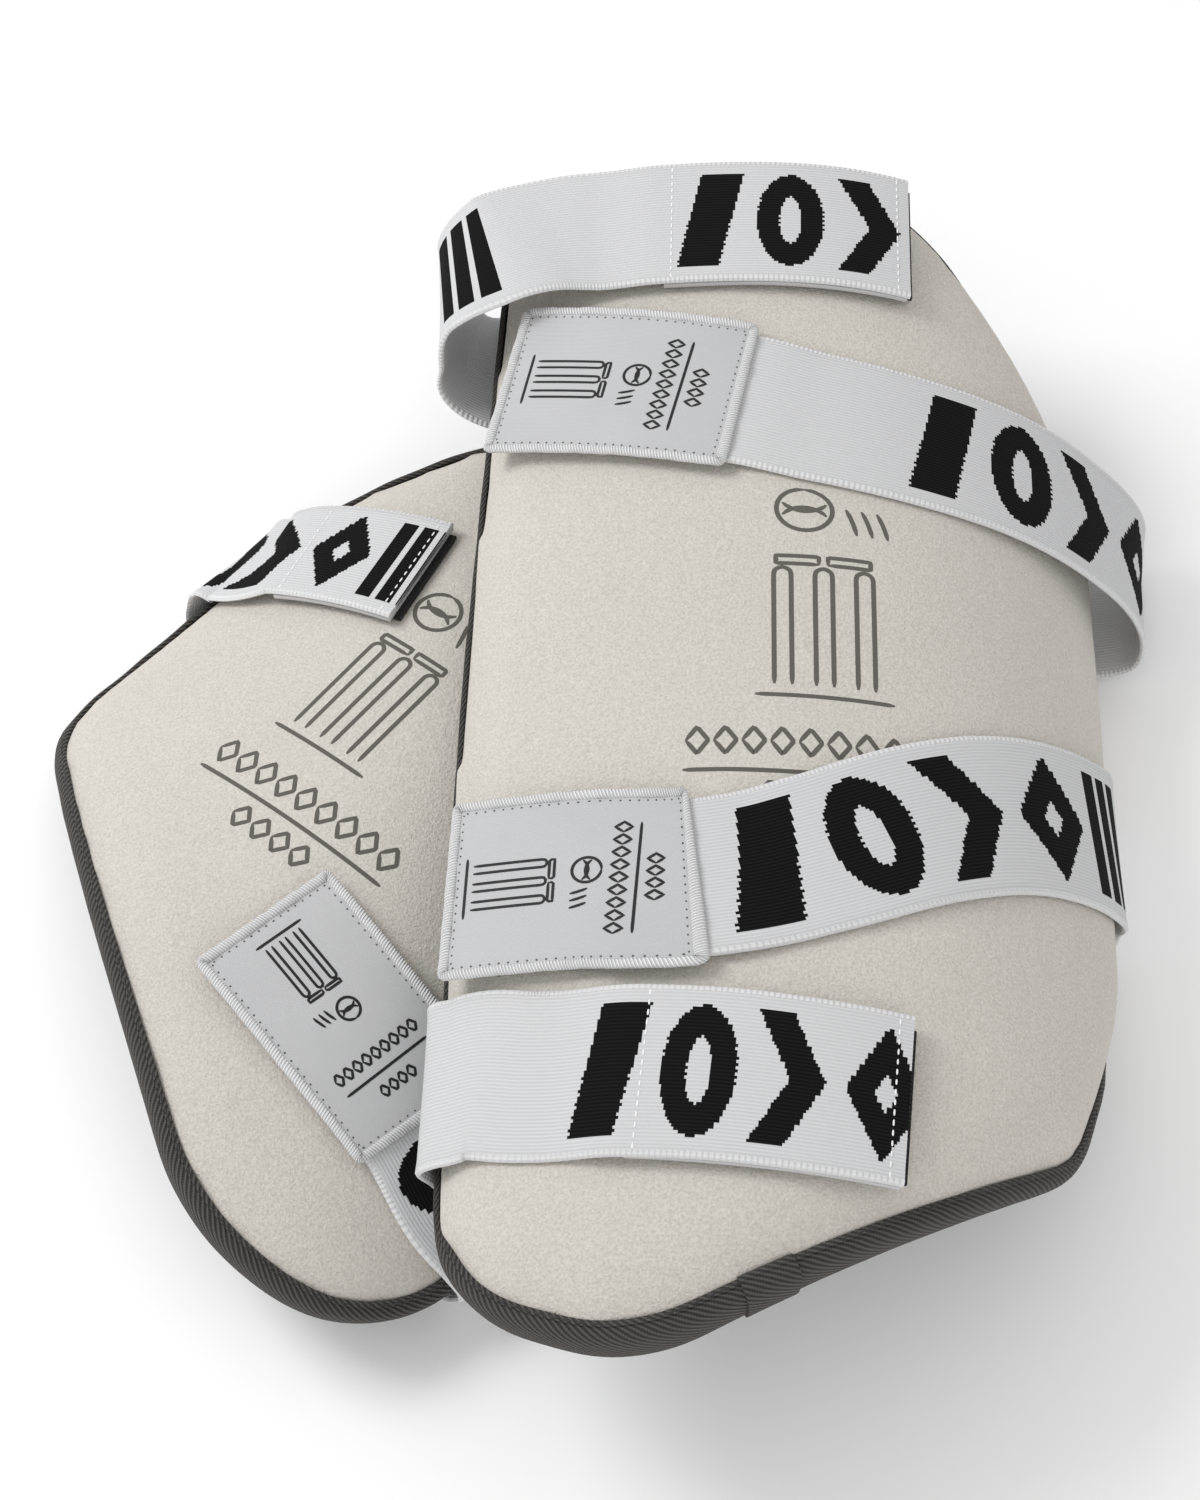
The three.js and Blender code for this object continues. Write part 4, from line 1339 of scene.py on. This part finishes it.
def label_objects(strap, ribbon, looks, name):
    """Satin label, its border, the dark dots of painted shade in the needle holes of its running stitch, and
    its generic drawing.
    """
    half = strap["width"] / 2 + LABEL_OVERHANG
    u1 = strap["tab"] - 0.6
    base = BAND_THICK + PLY_GAP
    under = 0.3  # the satin reaches this far into the layer below
    satin = slab_object(
        f"{name}_label", ribbon, 1.0, u1 - 1.0, half - 1.0, base - under, LABEL_THICK + under, looks["satin"])
    border = border_object(f"{name}_label_border", ribbon, u1, half, looks["border"])
    inset = BORDER_WIDE + 0.7
    a, b, w = inset, u1 - inset, half - inset
    corners = [[(a, -w), (b, -w)], [(b, -w), (b, w)], [(b, w), (a, w)], [(a, w), (a, -w)]]
    top = base + LABEL_THICK
    # dark dots on the satin: painted shade in the needle holes of the label's running stitch
    stitches = stitches_on_ribbon(f"{name}_label_hole_shade", ribbon, corners, top + 0.02, looks["needle_hole_shade"],
                                  LABEL_HOLE_SHADE)
    scale = strap["width"] / 49
    middle = u1 / 2

    def place(u, w_value, k):
        return ribbon.at(u, w_value, top + k)

    art = turned(wicket_drawing(), 0.62 * scale, 0, (middle - 26, 0))
    art += turned(diamond_row(35, 4.6, 9), scale, 90, (middle + 13.5, 0))
    art += [[(middle + 18.2, -17 * scale), (middle + 18.2, 17 * scale)]]
    art += turned(diamond_row(15, 4.4, 4), scale, 90, (middle + 22.8, 0))
    drawing = strokes(f"{name}_label_drawing", art, place, 0.8, 0.09, looks["label_print"])
    return [satin, border, stitches, drawing]


def strap_objects(strap, ribbon, looks):
    name = strap["name"]
    side_body = "inner_guard" if strap["guard"] is INNER else "outer_guard"
    length = ribbon.length
    tab, tail_start = strap["tab"], length - strap["tail"]

    # the band is cut twice on its back run, well away from both hinges
    spot = ribbon.table[:, 9]
    u_all = ribbon.stations
    cut_right = ribbon.turn_at + CUT_PAST_TURN
    on_back = (u_all > cut_right) & (spot < ribbon.limits[0] + CUT_BEFORE_TURN)
    cut_left = u_all[on_back][0]
    front = band_object(f"{name}_band_front", ribbon, 1.5, cut_right, looks["elastic"])
    middle = band_object(f"{name}_band_back", ribbon, cut_right, cut_left, looks["elastic"])
    tail = band_object(f"{name}_band_tail", ribbon, cut_left, length, looks["elastic"])

    def bend_at(obj, u_guard, u_flap):
        start = ribbon.at(np.array([u_guard]), 0.0, 0.8)[0] * MM
        end = ribbon.at(np.array([u_flap]), 0.0, 0.8)[0] * MM
        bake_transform(obj)

    bend_at(front, tab + BEND_BEFORE, tab - BEND_PAST)
    bend_at(tail, tail_start - BEND_BEFORE, tail_start + BEND_PAST)
    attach(middle, side_body)
    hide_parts(f"{name}_band", f"{name}_tab_band")
    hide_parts(f"{name}_band")
    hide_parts(f"{name}_tail_band")

    hook_half = strap["width"] / 2 - HOOK_MARGIN
    tab_hook = slab_object(
        f"{name}_tab_hook", ribbon, 1.5 + HOOK_MARGIN, tab - HOOK_MARGIN, hook_half,
        -PLY_GAP - HOOK_THICK, HOOK_THICK + PLY_GAP * 0.9, looks["hook"])
    backing = slab_object(
        f"{name}_tail_backing", ribbon, tail_start + 1, length - 0.4, strap["width"] / 2 - 0.1,
        -PLY_GAP - BACKING, BACKING + PLY_GAP * 0.8, looks["elastic"])
    tail_hook = slab_object(
        f"{name}_tail_hook", ribbon, tail_start + 1 + HOOK_MARGIN, length + 1.6, hook_half + 1.2,
        -2 * PLY_GAP - BACKING - HOOK_THICK, HOOK_THICK + PLY_GAP * 0.9, looks["hook"])
    for obj, part, body in ((tab_hook, "tab_hook", "tab"), (tail_hook, "tail_hook", "tail"),
                            (backing, "tail_backing", "tail")):
        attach(obj, f"{name}_{body}")
        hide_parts(f"{name}_{part}")

    label, border, stitches, drawing = label_objects(strap, ribbon, looks, name)
    for obj in (label, border, stitches, drawing):
        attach(obj, f"{name}_tab")
    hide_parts(f"{name}_label")
    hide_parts(f"{name}_label_border")

    # the free end is turned under and sewn: a hem line near the end and one where the ply begins
    half = strap["width"] / 2
    lines = [[(length - 3.4, -half + 1.5), (length - 3.4, half - 1.5)],
             [(tail_start + 3.2, -half + 1.5), (tail_start + 3.2, half - 1.5)]]
    hems = stitches_on_ribbon(f"{name}_hem_stitches", ribbon, lines, BAND_THICK + 0.1, looks["white_thread"],
                              HEM_STITCH)
    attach(hems, f"{name}_tail")


# ------------------------------------------------------------------ guards, put together
def face_drawings(guard, sheet, pad, looks):
    """Line drawing, rule and rows of diamonds printed on a face."""
    points = coordinates(pad.data) / MM
    tree = BVHTree.FromPolygons([Vector(p) for p in points], [tuple(f.vertices) for f in pad.data.polygons])

    def place(s, t, k):
        far = sheet.point(s, t, 40.0)
        down = -sheet.normal(s)
        result = []
        for origin, way in zip(far, down):
            hit = tree.ray_cast(Vector(origin), Vector(way), 60)
            result.append(np.array(hit[0]) - way * k)
        return np.array(result)

    if guard is OUTER:
        art = turned(wicket_drawing(), 1.22, 90, (6, -42))
        art += turned(diamond_row(66, 8.6, 9), 1.0, 0, (2, -61))
        art += [[(-31, -70.5), (36, -70.5)]]
        art += turned(diamond_row(28, 7.6, 4), 1.0, 0, (2, -77.5))
    else:
        art = turned(wicket_drawing(), 1.12, 90, (-5, 19))
        art += turned(diamond_row(68, 8.6, 9), 1.0, 0, (4, 0))
        art += [[(-30, -8), (38, -8)]]
        art += turned(diamond_row(29, 7.6, 4), 1.0, 0, (4, -15.5))
    drawing = strokes(f"{guard['name']}_face_drawing", art, place, 1.3, 0.07, looks["face_print"])
    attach(drawing, f"{guard['name']}_guard")


def guard_objects(guard, ribbons, looks):
    name = guard["name"]
    body = f"{name}_guard"
    sheet = Sheet(guard)
    outline = rounded_outline(guard["corners"])
    press = Press(ribbons)
    pad = pad_object(guard, sheet, outline, press, looks["face"])
    lining = lining_object(guard, sheet, outline, press, looks["lining"])
    tape, stitches, lap = binding_objects(guard, sheet, outline, looks)
    face_drawings(guard, sheet, pad, looks)
    for obj in (pad, lining, tape, stitches, lap):
        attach(obj, body)
    layers = [f"{name}_{layer}" for layer in ("face_cover", "impact_foam", "foam_insert", "comfort_foam")]
    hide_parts(*layers)
    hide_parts(f"{name}_back_lining")
    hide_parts(f"{name}_edge_binding")
    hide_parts(f"{name}_binding_lap")


# ------------------------------------------------------------------ stage
def make_stage():
    """Pale floor and soft studio light, mostly from the left."""
    look = new_material("floor", (0.97, 0.97, 0.97), 0.9)[0]
    signs = ((-1, -1), (1, -1), (1, 1), (-1, 1))
    mesh = bpy.data.meshes.new("floor")
    mesh.from_pydata([(x * FLOOR_HALF, y * FLOOR_HALF, 0) for x, y in signs], [], [(0, 1, 2, 3)])
    mesh.materials.append(look)
    floor = bpy.data.objects.new("floor", mesh)
    floor.location.z = -FLOOR_DROP
    bpy.context.scene.collection.objects.link(floor)

    world = bpy.data.worlds.new("studio")
    bpy.context.scene.world = world
    world.use_nodes = True
    background = world.node_tree.nodes["Background"]
    background.inputs["Color"].default_value = (1, 1, 1, 1)
    background.inputs["Strength"].default_value = WORLD_LIGHT

    for name, (place, side, power) in LAMPS.items():
        data = bpy.data.lights.new(name, "AREA")
        data.shape = "RECTANGLE"
        data.size = data.size_y = side
        data.energy = power
        lamp = bpy.data.objects.new(name, data)
        lamp.location = place
        lamp.rotation_euler = (-Vector(place)).to_track_quat("-Z", "Y").to_euler()
        bpy.context.scene.collection.objects.link(lamp)
    bpy.context.scene.view_settings.view_transform = "Standard"


def make_camera():
    """Three-quarter view from the lower end, from above."""
    elevation = math.radians(CAMERA_ELEVATION)
    data = bpy.data.cameras.new("camera")
    data.lens = LENS
    data.sensor_fit = "VERTICAL"
    data.sensor_height = SENSOR
    data.sensor_width = SENSOR
    camera = bpy.data.objects.new("camera", data)
    back = Vector((0, -math.cos(elevation), math.sin(elevation)))
    camera.location = Vector(CAMERA_TARGET) + CAMERA_DISTANCE * back
    camera.rotation_euler = (math.pi / 2 - elevation, 0, 0)
    bpy.context.scene.collection.objects.link(camera)
    bpy.context.scene.camera = camera


# ------------------------------------------------------------------ the scene
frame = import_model()
looks = make_materials()
ribbons = {strap["name"]: Ribbon(strap) for strap in STRAPS}
guard_objects(OUTER, [ribbons["upper"], ribbons["lower"]], looks)
guard_objects(INNER, [ribbons["inner"]], looks)
for strap in STRAPS:
    strap_objects(strap, ribbons[strap["name"]], looks)
make_stage()
make_camera()
